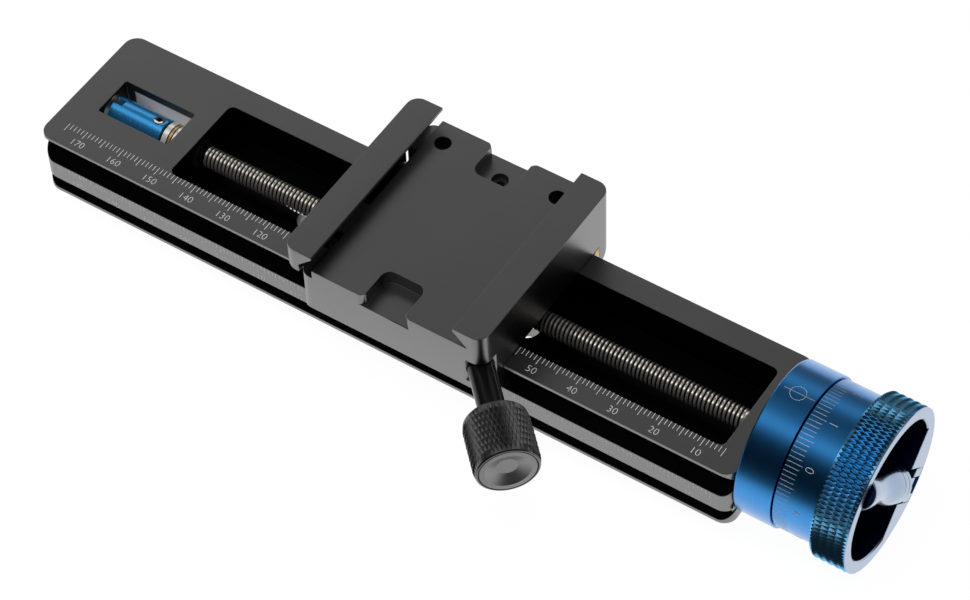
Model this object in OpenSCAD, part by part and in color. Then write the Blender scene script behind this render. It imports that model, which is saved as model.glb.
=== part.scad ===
// Macro focusing rail: a graduated dovetail rail, a leadscrew turned by a dial at one end,
// and a carriage with a quick clamp for camera plates.
// Origin: bottom face of the rail, on the axis of the middle tripod thread. +X runs towards the dial, +Z up.

/* [Rail] */
// Length of the rail between its end faces
rail_len = 179.6; // [172:0.1:240]
// Width of the rail over its edges
rail_w = 35.6; // [34.6:0.1:38]
// Height of the rail
rail_h = 17.4; // [17.2:0.1:19]
// Radius of the rail's corners in plan
rail_corner_r = 3.3; // [1:0.1:5]
// Height of the dovetail foot's square edge
foot_edge = 0.9; // [0.6:0.1:1]
// Depth of the dovetail foot's 45 degree flank
foot_depth = 3.4; // [2.8:0.1:3.5]
// Thickness of the top plate's square edge
plate_edge = 0.85; // [0.8:0.05:0.95]
// Depth of the guide groove under the top plate
vee_depth = 3.6; // [3.5:0.05:3.65]
// Width of the window that the nut travels in
window_w = 23.4; // [22.4:0.1:25]
// Thickness of the floor under the window
floor_t = 7.7; // [7.2:0.1:7.9]
// Radius of the window's corners
window_corner_r = 1.6; // [0.8:0.1:3]
// Wall between the window and the dial end
front_wall = 5.8; // [5.4:0.1:8]
// Wall between the window and the drive pocket
rear_wall = 5.3; // [4.5:0.1:7]
// Length of the drive pocket
pocket_len = 19.3; // [19.1:0.1:22]
// Width of the drive pocket
pocket_w = 10.5; // [9.6:0.1:12]
// Wall between the drive pocket and the plain end of the rail
end_wall = 7.5; // [6:0.1:10]
// Radius of the middle tripod thread
middle_thread_r = 4.76; // [4:0.01:5]
// Radius of the two outer tripod threads
outer_thread_r = 3.175; // [2.5:0.005:3.5]
// Distance of an outer tripod thread from the middle one
outer_thread_x = 28.4; // [20:0.1:32]

/* [Leadscrew] */
// Depth of the leadscrew's axis under the rail's top face
axis_drop = 5.0; // [4.9:0.05:5.1]
// Outside diameter of the leadscrew's thread
screw_d = 5.0; // [4.8:0.1:5.2]
// Diameter of the rear journal
rear_journal_d = 4.0; // [3.6:0.1:4.2]
// Diameter of the front journal
front_journal_d = 6.0; // [5.8:0.1:6.2]
// Diameter of the coupling, the thrust bearing and the lock ring in the pocket
coupling_d = 7.6; // [7.2:0.1:7.8]

/* [Dial] */
// Diameter of the fixed index ring
ring_d = 34.8; // [34:0.1:37]
// Length of the fixed index ring
ring_len = 8.8; // [8.6:0.1:10]
// Diameter of the graduated band
band_d = 33.8; // [33.2:0.1:34]
// Length of the graduated band
band_len = 9.6; // [9:0.1:12]
// Diameter of the knurled grip band
knurl_d = 38.0; // [37.8:0.1:42]
// Length of the knurled grip band
knurl_len = 8.55; // [8.5:0.05:10]
// Width of the flat rim round the hollow
rim_flat = 2.65; // [2.4:0.05:2.75]
// Width of the chamfer inside the rim
rim_chamfer = 0.3; // [0.2:0.05:0.35]

/* [Folding crank] */
// Angle of the crank's hinge round the dial, seen from the dial end
crank_angle = -45; // [-180:1:180]
// Largest diameter of the crank's handle
handle_d = 8.5; // [8:0.1:8.6]
// Smallest diameter of the handle's waist
waist_d = 6.4; // [5.8:0.1:6.8]
// Room between the handle's end and the wall of the dial's hollow
handle_end_room = 1.05; // [0.9:0.05:4]

/* [Carriage] */
// Distance of the carriage's middle from the index ring, as the rail's scale reads
carriage_reading = 80.5; // [45:0.5:110]
// How far the carriage stands out past each edge of the rail
carriage_overhang = 7.3; // [7.1:0.05:10.2]
// Length of the carriage on the dial's side of its middle
carriage_right = 25.0; // [24.8:0.1:28]
// Length of the carriage on the plain side of its middle
carriage_left = 22.1; // [21.9:0.1:24]
// Radius of the carriage's corners in plan
carriage_corner_r = 3.0; // [1:0.1:4]
// Height of the camera plate's seat over the rail
seat_rise = 10.75; // [10.5:0.05:12]
// Height of the pin notches' floor over the rail
notch_rise = 7.4; // [7.2:0.1:8]
// Width of a pin notch
notch_w = 10.2; // [8:0.1:12]
// Depth of a pin notch from the carriage's side
notch_depth = 9.0; // [7:0.1:9.2]
// Spacing of the gib screws along the rail
gib_screw_pitch = 14.75; // [12:0.05:15]

/* [Clamp] */
// Height of the jaws over the seat
jaw_rise = 4.35; // [4:0.05:5]
// Height of the square edge of a jaw's lip
lip_edge = 0.8; // [0.5:0.1:1.2]
// Distance of the fixed jaw's lip from the carriage's middle
fixed_lip_x = 17.4; // [17.2:0.1:18]
// Distance of the moving jaw's lip from the carriage's middle
moving_lip_x = 18.1; // [18.1:0.05:18.5]
// Diameter of the clamp knob
knob_d = 14.5; // [13:0.1:16]
// Length of the clamp knob
knob_len = 14.2; // [12:0.1:18]
// Distance of the clamp knob from the carriage's corner flat
knob_out = 13.3; // [12:0.1:16]
// Diameter of the clamp screw
spindle_d = 6.0; // [5.6:0.1:6]

/* [Hidden] */

$fn = 96;
half = 0.5;
right_angle = 90;
slope_angle = 45;
// Overrun of every cut past the face it opens
cut = 1;
// Diametral play of a turning or sliding fit
fit_play = 0.1;
// Play between a sliding flank and its groove, measured along Y
flank_play = 0.07;
// Space between parts that pass each other
pass_gap = 0.2;

// Places on the rail
x_face = rail_len * half;
axis_z = rail_h - axis_drop;
window_x1 = x_face - front_wall;
pocket_x0 = -x_face + end_wall;
pocket_x1 = pocket_x0 + pocket_len;
window_x0 = pocket_x1 + rear_wall;
rail_side = rail_w * half;
vee_top_z = rail_h - plate_edge;
vee_mid_z = vee_top_z - vee_depth;
vee_low_z = vee_mid_z - vee_depth;
foot_top_z = foot_edge + foot_depth;
pocket_corner_r = 0.5;

// Leadscrew: lengths of its steps
collar_d = 8.0;
collar_len = 5.0;
relief_d = 3.2;
relief_len = 1.3;
thread_start_gap = 0.2;
rear_tip_gap = 2.6;
dial_screw_d = 4.0;
dial_screw_depth = 8.0;
dial_screw_head_d = 7.2;
dial_screw_head_t = 1.2;
hex_flats_d = 2.9;
hex_depth = 1.0;
screw_end_gap = 0.3;

// Rear end: bushing, thrust bearing, lock ring and coupling
bushing_d = 7.0;
race_t = 1.3;
cage_t = 1.2;
thrust_ball_d = 1.18;
thrust_ball_count = 8;
thrust_ball_ring_r = 3.0;
race_bore_d = 4.4;
lock_ring_d = 6.6;
lock_ring_t = 0.7;
coupling_end_gap = 0.5;
coupling_slot_w = 2.0;
coupling_slot_depth = 2.4;
coupling_turn = 8;
set_screw_d = 2.5;
set_screw_x = 2.1;
set_screw_hex_d = 1.5;
set_screw_stand = 0.05;
set_screw_sink_share = 0.3;
end_bore_d = 8.6;

// Front end: ball bearing and index ring
bearing_len = 5.0;
bearing_d = 13.0;
bearing_inner_d = 8.4;
bearing_outer_bore_d = 10.8;
bearing_ball_d = 1.0;
bearing_ball_count = 9;
bearing_shield_t = 0.4;
hub_nose_d = 8.2;
hub_clear_d = 9.6;
ring_chamfer = 0.3;
ring_screw_y = 9.5;
ring_screw_high_z = -3.6;
ring_screw_low_z = -13.4;
m3_d = 3.0;
m3_clear_d = 3.4;
m3_head_d = 5.4;
m3_head_t = 2.6;
m3_grip = 4.8;
m3_hex_d = 2.9;

// Dial: places along X from the ring's rail face
dial_x0 = ring_len + pass_gap;
knurl_x0 = dial_x0 + band_len;
dial_x1 = knurl_x0 + knurl_len;
hollow_depth = 8.1;
hollow_x0 = dial_x1 - hollow_depth;
knurl_chamfer = 0.7;
dial_web_d = 26.0;
dial_web_depth = 4.0;
hollow_r = knurl_d * half - rim_flat - rim_chamfer;

// Crank, in a frame whose Y runs from the dial's axis to the hinge
hinge_rim_inset = 3.9;
hinge_y = knurl_d * half - hinge_rim_inset;
hinge_inset = 2.2;
hinge_x = dial_x1 - hinge_inset;
hinge_pin_d = 2.0;
yoke_w = 7.9;
yoke_slot_w = 3.9;
yoke_inset = 1.2;
yoke_y0 = hinge_y - yoke_inset;
yoke_rim_wall = 0.7;
yoke_r = knurl_d * half - yoke_rim_wall;
yoke_depth = 6.6;
yoke_floor_t = 1.1;
yoke_seat_gap = 0.05;
arm_w = 3.7;
arm_end_r = 1.9;
arm_top = hinge_inset;
arm_tail = 0.3;
arm_len = 6.0;
arm_cone_y = hinge_y - arm_len;
arm_cone_d = 5.6;
arm_cone_len = 1.0;
arm_collar_len = 1.8;
handle_gap = 0.12;
handle_y1 = arm_cone_y - arm_cone_len - arm_collar_len - handle_gap;
handle_y0 = handle_end_room - hollow_r;
handle_len = handle_y1 - handle_y0;
handle_end_bevel = 0.25;
handle_shoulder_len = 2.6;
handle_flare_d = 7.5;
handle_steps = 10;
axle_d = 2.2;
axle_head_d = 6.4;
axle_head_t = 0.9;
axle_head_sink = 2.2;
axle_root = 2.0;

// Carriage: heights and places
x_mid = x_face - carriage_reading;
x_left = x_mid - carriage_left;
x_right = x_mid + carriage_right;
side_y = rail_w * half + carriage_overhang;
carriage_w = 2 * side_y;
under_gap = 0.15;
under_z = rail_h + under_gap;
skirt_drop = 2.1;
tongue_drop = 6.3;
skirt_z = rail_h - skirt_drop;
tongue_z = rail_h - tongue_drop;
skirt_bevel = tongue_drop - skirt_drop;
inner_side_y = rail_side + pass_gap;
tongue_nose_gap = 0.8;
tongue_nose_y = rail_side - vee_depth + tongue_nose_gap;
tongue_root_play = 0.3;
seat_z = rail_h + seat_rise;
jaw_top_z = seat_z + jaw_rise;
undercut = jaw_rise - lip_edge;
ledge_rise = 8.4;
ledge_z = rail_h + ledge_rise;
ledge_w = 3.7;
step_x = x_left + ledge_w;
notch_z = rail_h + notch_rise;
notch_corner_r = 2.2;
notch_mouth_r = 1.5;
gib_w = 2.2;
gib_wall_y = rail_side + gib_w;
gib_top_drop = 0.1;
gib_screw_inset = 0.4;
gib_screw_y = gib_wall_y - gib_screw_inset;
gib_hole_d = 3.8;
gib_screw_d = 3.76;
gib_screw_len = 6.0;
gib_hex_d = 2.2;
gib_hex_depth = 2.0;

// Nut under the carriage
nut_block_len = 24.0;
nut_block_w = 21.0;
nut_block_floor_gap = 0.35;
nut_block_edge_r = 1.5;
nut_d = 7.4;
nut_flange_d = 8.4;
nut_flange_t = 1.2;
nut_screw_y = 7.2;
nut_screw_pitch = 14.0;
nut_screw_depth = 5.5;

// Clamp: moving jaw, drawbar and guide pins
jaw_out_w = 7.6;
jaw_left_x = x_mid - moving_lip_x - jaw_out_w;
jaw_gap = 0.1;
jaw_low_z = ledge_z + jaw_gap;
jaw_corner_r = 3.0;
jaw_belly_r = 3.0;
jaw_open = 2.8;
jaw_close = 3.0;
leg_w = 32.4;
leg_drop = 0.9;
leg_z = rail_h + leg_drop;
leg_gap = 0.1;
recess_gap = 0.3;
recess_depth = ledge_w;
bar_w = 9.6;
bar_front_inset = 1.04;
bar_top_rise = 5.8;
bar_reach = 14.5;
bar_end_x = x_mid + bar_reach;
bar_slot_gap = 0.2;
pin_d = 4.0;
pin_inset = 5.0;
pin_y = rail_side - pin_inset;
pin_rise = 4.3;
pin_len = 17.0;
pin_root = 2.4;
spring_wire = 0.6;
spring_d = 5.8;
spring_bore_d = 6.4;
spring_seat_depth = 5.0;
spring_turns = 5;
coil_steps = 16;
wire_sides = 8;
drawbar_screw_d = 2.5;
drawbar_screw_head_d = 4.4;
drawbar_screw_head_t = 1.5;
drawbar_screw_grip = 6.0;
drawbar_screw_inset = 2.2;

// Clamp screw on its 45 degree axis; w runs outwards from the corner flat
corner_cut = 4.8;
corner_pocket_h = 6.6;
clamp_rise = 3.3;
clamp_z = rail_h + clamp_rise;
flat_x = x_right - corner_cut * half;
flat_y = -side_y + corner_cut * half;
spindle_thread_in = 4.2;
spindle_nose_in = 7.6;
nose_d = 4.9;
wedge_in = 20.0;
wedge_angle = 67.5;
wedge_tip_in = 26.2;
wedge_bore_in = 24.0;
wedge_x = flat_x - wedge_in * cos(slope_angle);
wedge_y = flat_y + wedge_in * sin(slope_angle);
bar_y0 = wedge_y - bar_front_inset;
bar_y1 = bar_y0 + bar_w;
bar_notch_inset = 3.5;
bar_notch_x = x_mid - bar_notch_inset;
knob_chamfer = 0.6;
knob_collar_d = 9.0;
knob_collar_len = 0.8;
cap_d = 12.4;
cap_depth = 2.4;
cap_dish = 1.75;
cap_land = 0.9;
cap_disc_d = 5.0;

// Shared shapes

// Rectangle with round corners, from its lowest to its highest corner
module round_rect(x0, y0, x1, y1, r) {
    translate([x0 + r, y0]) square([x1 - x0 - 2 * r, y1 - y0]);
    translate([x0, y0 + r]) square([x1 - x0, y1 - y0 - 2 * r]);
    for (x = [x0 + r, x1 - r], y = [y0 + r, y1 - r]) translate([x, y]) circle(r);
}

// Solid bar along X with a YZ outline
module along_x(x0, x1) {
    translate([x0, 0, 0]) rotate([right_angle, 0, right_angle]) linear_extrude(x1 - x0) children();
}

// Solid bar along Y with an XZ outline
module along_y(y0, y1) {
    translate([0, y1, 0]) rotate([right_angle, 0, 0]) linear_extrude(y1 - y0) children();
}

// Cylinder along X between two places
module x_cyl(d, x0, x1) {
    translate([x0, 0, 0]) rotate([0, right_angle, 0]) cylinder(d = d, h = x1 - x0);
}

// Cylinder along Y between two places
module y_cyl(d, y0, y1) {
    translate([0, y1, 0]) rotate([right_angle, 0, 0]) cylinder(d = d, h = y1 - y0);
}

// Ring along X between two places
module x_ring(d, bore, x0, x1) {
    difference() {
        x_cyl(d, x0, x1);
        x_cyl(bore, x0 - cut, x1 + cut);
    }
}

// Box from its lowest to its highest corner
module box(p, q) {
    translate(p) cube(q - p);
}

// Children on the leadscrew's axis, in the rail's own X
module on_axis() {
    translate([0, 0, axis_z]) children();
}

// Children on the leadscrew's axis, with X from the rail's dial end
module from_face() {
    translate([x_face, 0, axis_z]) children();
}

// Children in the crank's frame: Y runs to the hinge, Z along its pin
module crank_frame() {
    from_face() rotate([crank_angle, 0, 0]) children();
}

// Children in the clamp screw's frame: Z runs outwards from the corner flat
module clamp_frame() {
    translate([flat_x, flat_y, clamp_z]) rotate([0, right_angle, -slope_angle]) children();
}

// Socket head screw with its head's seat at the origin and its shank along -Z
module cap_screw(d, grip, head_d, head_t, hex_d) {
    difference() {
        union() {
            translate([0, 0, -grip]) cylinder(d = d, h = grip);
            cylinder(d = head_d, h = head_t);
        }
        translate([0, 0, head_t * half]) cylinder(d = hex_d, h = head_t, $fn = 6);
    }
}

// Rail

module rail_outline() {
    polygon([
        [-rail_side, 0], [rail_side, 0], [rail_side, foot_edge],
        [rail_side - foot_depth, foot_top_z], [rail_side, foot_top_z], [rail_side, vee_low_z],
        [rail_side - vee_depth, vee_mid_z], [rail_side, vee_top_z], [rail_side, rail_h],
        [-rail_side, rail_h], [-rail_side, vee_top_z], [-rail_side + vee_depth, vee_mid_z],
        [-rail_side, vee_low_z], [-rail_side, foot_top_z], [-rail_side + foot_depth, foot_top_z],
        [-rail_side, foot_edge]
    ]);
}

module rail_body() {
    window_y = window_w * half;
    pocket_y = pocket_w * half;
    color([0.14, 0.14, 0.14]) difference() {
        intersection() {
            along_x(-x_face, x_face) rail_outline();
            linear_extrude(rail_h) round_rect(-x_face, -rail_side, x_face, rail_side, rail_corner_r);
        }
        translate([0, 0, floor_t]) linear_extrude(rail_h)
            round_rect(window_x0, -window_y, window_x1, window_y, window_corner_r);
        translate([0, 0, -cut]) linear_extrude(rail_h + 2 * cut)
            round_rect(pocket_x0, -pocket_y, pocket_x1, pocket_y, pocket_corner_r);
        on_axis() x_cyl(bushing_d, pocket_x1 - cut, window_x0 + cut);
        on_axis() x_cyl(end_bore_d, -x_face - cut, pocket_x0 + cut);
        on_axis() x_cyl(hub_clear_d, window_x1 - cut, x_face + cut);
        translate([0, 0, -cut]) cylinder(r = middle_thread_r, h = floor_t + 2 * cut);
        for (x = [-outer_thread_x, outer_thread_x])
            translate([x, 0, -cut]) cylinder(r = outer_thread_r, h = floor_t + 2 * cut);
        ring_screw_places() x_cyl(m3_d, -m3_grip, cut);
    }
}

module ring_screw_places() {
    for (y = [-ring_screw_y, ring_screw_y], z = [ring_screw_high_z, ring_screw_low_z])
        translate([x_face, y, rail_h + z]) children();
}

// Rear end

race_fixed_x1 = pocket_x1;
cage_x1 = race_fixed_x1 - race_t;
race_turning_x1 = cage_x1 - cage_t;
lock_ring_x1 = race_turning_x1 - race_t;
coupling_x1 = lock_ring_x1 - lock_ring_t;
coupling_x0 = pocket_x0 + coupling_end_gap;

module rear_bushing() {
    color([0.16, 0.15, 0.14]) on_axis() x_ring(bushing_d, rear_journal_d + fit_play, pocket_x1, window_x0);
}

module thrust_race_fixed() {
    color([0.78, 0.76, 0.72]) on_axis() x_ring(coupling_d, race_bore_d, cage_x1, race_fixed_x1);
}

module thrust_ball_places() {
    on_axis() for (i = [0 : thrust_ball_count - 1])
        rotate([i * 360 / thrust_ball_count, 0, 0])
            translate([cage_x1 - cage_t * half, thrust_ball_ring_r, 0]) children();
}

module thrust_cage() {
    pocket_d = thrust_ball_d + fit_play;
    color([0.72, 0.55, 0.25]) difference() {
        on_axis() x_ring(coupling_d, race_bore_d, cage_x1 - cage_t, cage_x1);
        thrust_ball_places() x_cyl(pocket_d, -cage_t, cage_t, $fn = 24);
    }
}

module thrust_balls() {
    color([0.85, 0.85, 0.85]) thrust_ball_places() sphere(d = thrust_ball_d, $fn = 24);
}

module thrust_race_turning() {
    color([0.78, 0.76, 0.72]) on_axis()
        x_ring(coupling_d, rear_journal_d, lock_ring_x1, race_turning_x1);
}

module lock_ring() {
    color([0.08, 0.08, 0.09]) on_axis() x_ring(lock_ring_d, rear_journal_d, coupling_x1, lock_ring_x1);
}

module set_screw_place() {
    on_axis() rotate([-coupling_turn, 0, 0]) translate([coupling_x1 - set_screw_x, 0, 0]) children();
}

module drive_coupling() {
    slot_y = coupling_slot_w * half;
    slot_z = coupling_d;
    color([0.2, 0.55, 0.88]) difference() {
        on_axis() x_ring(coupling_d, rear_journal_d, coupling_x0, coupling_x1);
        on_axis() rotate([-coupling_turn, 0, 0])
            box([coupling_x0 - cut, -slot_y, -slot_z], [coupling_x0 + coupling_slot_depth, slot_y, slot_z]);
        set_screw_place() cylinder(d = set_screw_d, h = coupling_d);
    }
}

module coupling_set_screw() {
    seat = rear_journal_d * half;
    top = coupling_d * half + set_screw_stand;
    color([0.8, 0.78, 0.74]) set_screw_place() difference() {
        translate([0, 0, seat]) cylinder(d = set_screw_d, h = top - seat);
        translate([0, 0, top * (1 - set_screw_sink_share)]) cylinder(d = set_screw_hex_d, h = top, $fn = 6);
    }
}

// Leadscrew

module leadscrew() {
    thread_x0 = window_x0 + relief_len;
    thread_x1 = window_x1 - thread_start_gap;
    tip_x = coupling_x0 + rear_tip_gap;
    front_end_x = x_face + hollow_x0 - screw_end_gap;
    color([0.72, 0.7, 0.66]) on_axis() difference() {
        union() {
            x_cyl(rear_journal_d, tip_x, window_x0 + thread_start_gap);
            x_cyl(relief_d, window_x0, thread_x0);
            x_cyl(screw_d, thread_x0, thread_x1);
            x_cyl(collar_d, x_face - collar_len, x_face);
            x_cyl(screw_d, thread_x1, x_face);
            x_cyl(front_journal_d, x_face, front_end_x);
        }
        x_cyl(dial_screw_d, front_end_x - dial_screw_depth, front_end_x + cut);
    }
}

// Front bearing

module bearing_inner_race() {
    color([0.8, 0.8, 0.8]) from_face() x_ring(bearing_inner_d, front_journal_d, 0, bearing_len);
}

module bearing_outer_race() {
    shield_bore = bearing_inner_d + 2 * pass_gap;
    color([0.75, 0.75, 0.75]) from_face() difference() {
        x_cyl(bearing_d, 0, bearing_len);
        x_cyl(shield_bore, -cut, bearing_len + cut);
        x_cyl(bearing_outer_bore_d, bearing_shield_t, bearing_len - bearing_shield_t);
    }
}

module bearing_balls() {
    ring_r = (bearing_inner_d + bearing_outer_bore_d) * half * half;
    color([0.85, 0.85, 0.85]) from_face() for (i = [0 : bearing_ball_count - 1])
        rotate([i * 360 / bearing_ball_count, 0, 0])
            translate([bearing_len * half, ring_r, 0]) sphere(d = bearing_ball_d, $fn = 24);
}

// Index ring

module index_ring() {
    color([0.09, 0.3, 0.55]) difference() {
        from_face() difference() {
            union() {
                x_cyl(ring_d, ring_chamfer, ring_len);
                rotate([0, right_angle, 0])
                    cylinder(d1 = ring_d - 2 * ring_chamfer, d2 = ring_d, h = ring_chamfer);
            }
            x_cyl(bearing_d, -cut, bearing_len);
            x_cyl(hub_clear_d, 0, ring_len + cut);
        }
        ring_screw_places() x_cyl(m3_clear_d, -cut, ring_len + cut);
        ring_screw_places() x_cyl(m3_head_d + 2 * fit_play, ring_len - m3_head_t - pass_gap, ring_len + cut);
    }
}

module ring_screws() {
    seat_x = ring_len - m3_head_t - pass_gap;
    color([0.25, 0.25, 0.27]) ring_screw_places() translate([seat_x, 0, 0]) rotate([0, right_angle, 0])
        cap_screw(m3_d, seat_x + m3_grip, m3_head_d, m3_head_t, m3_hex_d);
}

// Dial

module dial() {
    band_r = band_d * half;
    knurl_r = knurl_d * half;
    web_r = dial_web_d * half;
    nose_r = hub_nose_d * half;
    bore_r = front_journal_d * half;
    yoke_y = yoke_w * half + yoke_seat_gap;
    color([0.1, 0.33, 0.6]) difference() {
        from_face() rotate([0, right_angle, 0]) rotate_extrude() polygon([
            [bore_r, bearing_len], [nose_r, bearing_len], [nose_r, dial_x0 + dial_web_depth],
            [web_r, dial_x0 + dial_web_depth], [web_r, dial_x0], [band_r, dial_x0], [band_r, knurl_x0],
            [knurl_r - knurl_chamfer, knurl_x0], [knurl_r, knurl_x0 + knurl_chamfer],
            [knurl_r, dial_x1], [hollow_r + rim_chamfer, dial_x1], [hollow_r, dial_x1 - rim_chamfer],
            [hollow_r, hollow_x0], [bore_r, hollow_x0]
        ]);
        crank_frame() intersection() {
            box([dial_x1 - yoke_depth - yoke_seat_gap, yoke_y0, -yoke_y], [dial_x1 + cut, knurl_r, yoke_y]);
            x_cyl(2 * (yoke_r + yoke_seat_gap), 0, dial_x1 + 2 * cut);
        }
    }
}

module dial_screw() {
    color([0.75, 0.75, 0.75]) from_face() translate([hollow_x0, 0, 0]) rotate([0, right_angle, 0])
        cap_screw(dial_screw_d, dial_screw_depth, dial_screw_head_d, dial_screw_head_t, hex_flats_d);
}

// Folding crank

module crank_yoke() {
    floor_x = dial_x1 - yoke_depth;
    outer_z = yoke_w * half;
    slot_z = yoke_slot_w * half;
    color([0.62, 0.72, 0.88]) crank_frame() difference() {
        intersection() {
            box([floor_x, yoke_y0, -outer_z], [dial_x1, knurl_d * half, outer_z]);
            x_cyl(2 * yoke_r, 0, dial_x1);
        }
        box([floor_x + yoke_floor_t, yoke_y0 - cut, -slot_z], [dial_x1 + cut, yoke_r + cut, slot_z]);
        translate([hinge_x, hinge_y, -yoke_w]) cylinder(d = hinge_pin_d, h = 2 * yoke_w);
    }
}

module crank_pin() {
    color([0.75, 0.75, 0.78]) crank_frame()
        translate([hinge_x, hinge_y, -yoke_w * half]) cylinder(d = hinge_pin_d, h = yoke_w);
}

module crank_arm() {
    arm_z = arm_w * half;
    color([0.55, 0.66, 0.88]) crank_frame() difference() {
        union() {
            translate([hinge_x, hinge_y, -arm_z]) cylinder(r = arm_end_r, h = arm_w);
            box([hinge_x - arm_end_r, arm_cone_y, -arm_z], [hinge_x + arm_end_r, hinge_y, arm_z]);
            box([hinge_x, arm_cone_y, -arm_z], [hinge_x + arm_top, hinge_y + arm_tail, arm_z]);
            translate([hinge_x, arm_cone_y, 0]) rotate([right_angle, 0, 0])
                cylinder(d1 = arm_cone_d, d2 = handle_d, h = arm_cone_len);
            translate([hinge_x, arm_cone_y - arm_cone_len, 0]) rotate([right_angle, 0, 0])
                cylinder(d = handle_d, h = arm_collar_len);
        }
        translate([hinge_x, hinge_y, -arm_w]) cylinder(d = hinge_pin_d + fit_play, h = 2 * arm_w);
        translate([hinge_x, 0, 0]) y_cyl(axle_d, handle_y1 - cut, arm_cone_y + axle_root - cut);
    }
}

module handle_axle() {
    head_y = handle_y0 + axle_head_sink;
    color([0.7, 0.72, 0.78]) crank_frame() translate([hinge_x, 0, 0]) {
        y_cyl(axle_d, head_y - axle_head_t, arm_cone_y + axle_root - cut);
        y_cyl(axle_head_d, head_y - axle_head_t, head_y);
    }
}

module crank_handle() {
    big = handle_d * half;
    flare = handle_flare_d * half;
    waist = waist_d * half;
    bore = (axle_d + fit_play) * half;
    head = axle_head_d * half + fit_play;
    // Waist: a smooth hollow from the flared end to the shoulder
    waist_len = handle_len - handle_shoulder_len - handle_end_bevel;
    waist_points = [for (i = [0 : handle_steps])
        let (t = i / handle_steps, edge = flare + (big - flare) * t)
            [edge - (edge - waist) * pow(sin(180 * t), 2), handle_end_bevel + waist_len * t]];
    color([0.55, 0.66, 0.88]) crank_frame() translate([hinge_x, handle_y0, 0])
        rotate([-right_angle, 0, 0]) rotate_extrude() polygon(concat(
            [[head, 0], [flare - handle_end_bevel, 0]],
            waist_points,
            [[big, handle_len], [bore, handle_len], [bore, axle_head_sink], [head, axle_head_sink]]
        ));
}

// Carriage

module carriage_yz() {
    flank_y = rail_side + flank_play;
    nose_top_z = vee_top_z - (flank_y - tongue_nose_y);
    nose_low_z = vee_low_z + (rail_side - tongue_nose_y) + tongue_root_play;
    root_y = tongue_nose_y + (nose_low_z - tongue_z);
    polygon([
        [-side_y, jaw_top_z], [-side_y, skirt_z], [-side_y + skirt_bevel, tongue_z], [-root_y, tongue_z],
        [-tongue_nose_y, nose_low_z], [-tongue_nose_y, nose_top_z],
        [-inner_side_y, vee_top_z - flank_y + inner_side_y], [-inner_side_y, under_z],
        [gib_wall_y, under_z], [gib_wall_y, tongue_z], [side_y - skirt_bevel, tongue_z],
        [side_y, skirt_z], [side_y, jaw_top_z]
    ]);
}

module carriage_xz() {
    lip_x = x_mid + fixed_lip_x;
    polygon([
        [x_left, tongue_z - cut], [x_left, ledge_z], [step_x, ledge_z], [step_x, seat_z],
        [lip_x + undercut, seat_z], [lip_x, seat_z + undercut], [lip_x, jaw_top_z],
        [x_right, jaw_top_z], [x_right, tongue_z - cut]
    ]);
}

// Plan of one pin notch: round inner corners, and a mouth that opens in two small radii
module notch_plan() {
    side_x = notch_w * half;
    round_rect(-side_x, -notch_depth, side_x, notch_depth, notch_corner_r);
    for (s = [-1, 1]) difference() {
        translate([s * (side_x + notch_mouth_r * half), notch_mouth_r * half - cut * half])
            square([notch_mouth_r, notch_mouth_r + cut], center = true);
        translate([s * (side_x + notch_mouth_r), -notch_mouth_r]) circle(notch_mouth_r);
    }
}

module gib_screw_places() {
    for (i = [-1 : 1]) translate([x_mid + i * gib_screw_pitch, gib_screw_y, 0]) children();
}

module nut_screw_places() {
    for (s = [-1, 1]) translate([x_mid + s * nut_screw_pitch * half, nut_screw_y, 0]) children();
}

module guide_pin_places() {
    for (y = [-pin_y, pin_y]) translate([0, y, rail_h + pin_rise]) children();
}

// Everything on the front of the wedge face, from the notch in the drawbar to the dial's side
module wedge_side(front) {
    reach = 2 * carriage_w;
    translate([wedge_x, wedge_y, 0]) rotate([0, 0, wedge_angle])
        translate([front ? -reach : 0, -reach, 0]) cube([reach, 2 * reach, reach]);
}

module carriage_body() {
    leg_y = leg_w * half + recess_gap;
    spring_floor_x = step_x - ledge_w + recess_depth + spring_seat_depth;
    color([0.16, 0.16, 0.16]) difference() {
        intersection() {
            along_x(x_left, x_right) carriage_yz();
            along_y(-side_y, side_y) carriage_xz();
            linear_extrude(jaw_top_z) round_rect(x_left, -side_y, x_right, side_y, carriage_corner_r);
        }
        for (s = [0, 1]) mirror([0, s, 0]) translate([x_mid, -side_y, notch_z]) mirror([0, 1, 0])
            linear_extrude(seat_rise) notch_plan();
        gib_screw_places() cylinder(d = gib_hole_d, h = jaw_top_z + cut);
        nut_screw_places() cylinder(d = m3_d, h = under_z + nut_screw_depth + cut);
        // Drawbar channel, open to the rail
        box([x_left - cut, bar_y0 - bar_slot_gap, rail_h - cut],
            [bar_end_x + jaw_close + bar_slot_gap, bar_y1 + bar_slot_gap, rail_h + bar_top_rise + bar_slot_gap]);
        // Recess for the moving jaw's leg
        box([x_left - cut, -leg_y, rail_h - tongue_drop - cut], [x_left + recess_depth, leg_y, seat_z + cut]);
        guide_pin_places() x_cyl(pin_d + fit_play, x_left, x_left + pin_len + jaw_close + cut);
        guide_pin_places() x_cyl(spring_bore_d, x_left, spring_floor_x);
        // Corner pocket with a flat floor under the fixed jaw, and the clamp screw's bore
        clamp_frame() translate([-corner_pocket_h * half, -carriage_w, 0])
            cube([corner_pocket_h, 2 * carriage_w, carriage_w]);
        clamp_frame() translate([0, 0, -spindle_nose_in - pass_gap])
            cylinder(d = spindle_d + fit_play, h = spindle_nose_in + pass_gap + cut);
        clamp_frame() translate([0, 0, -wedge_bore_in]) cylinder(d = nose_d + fit_play, h = wedge_bore_in);
    }
}

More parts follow.
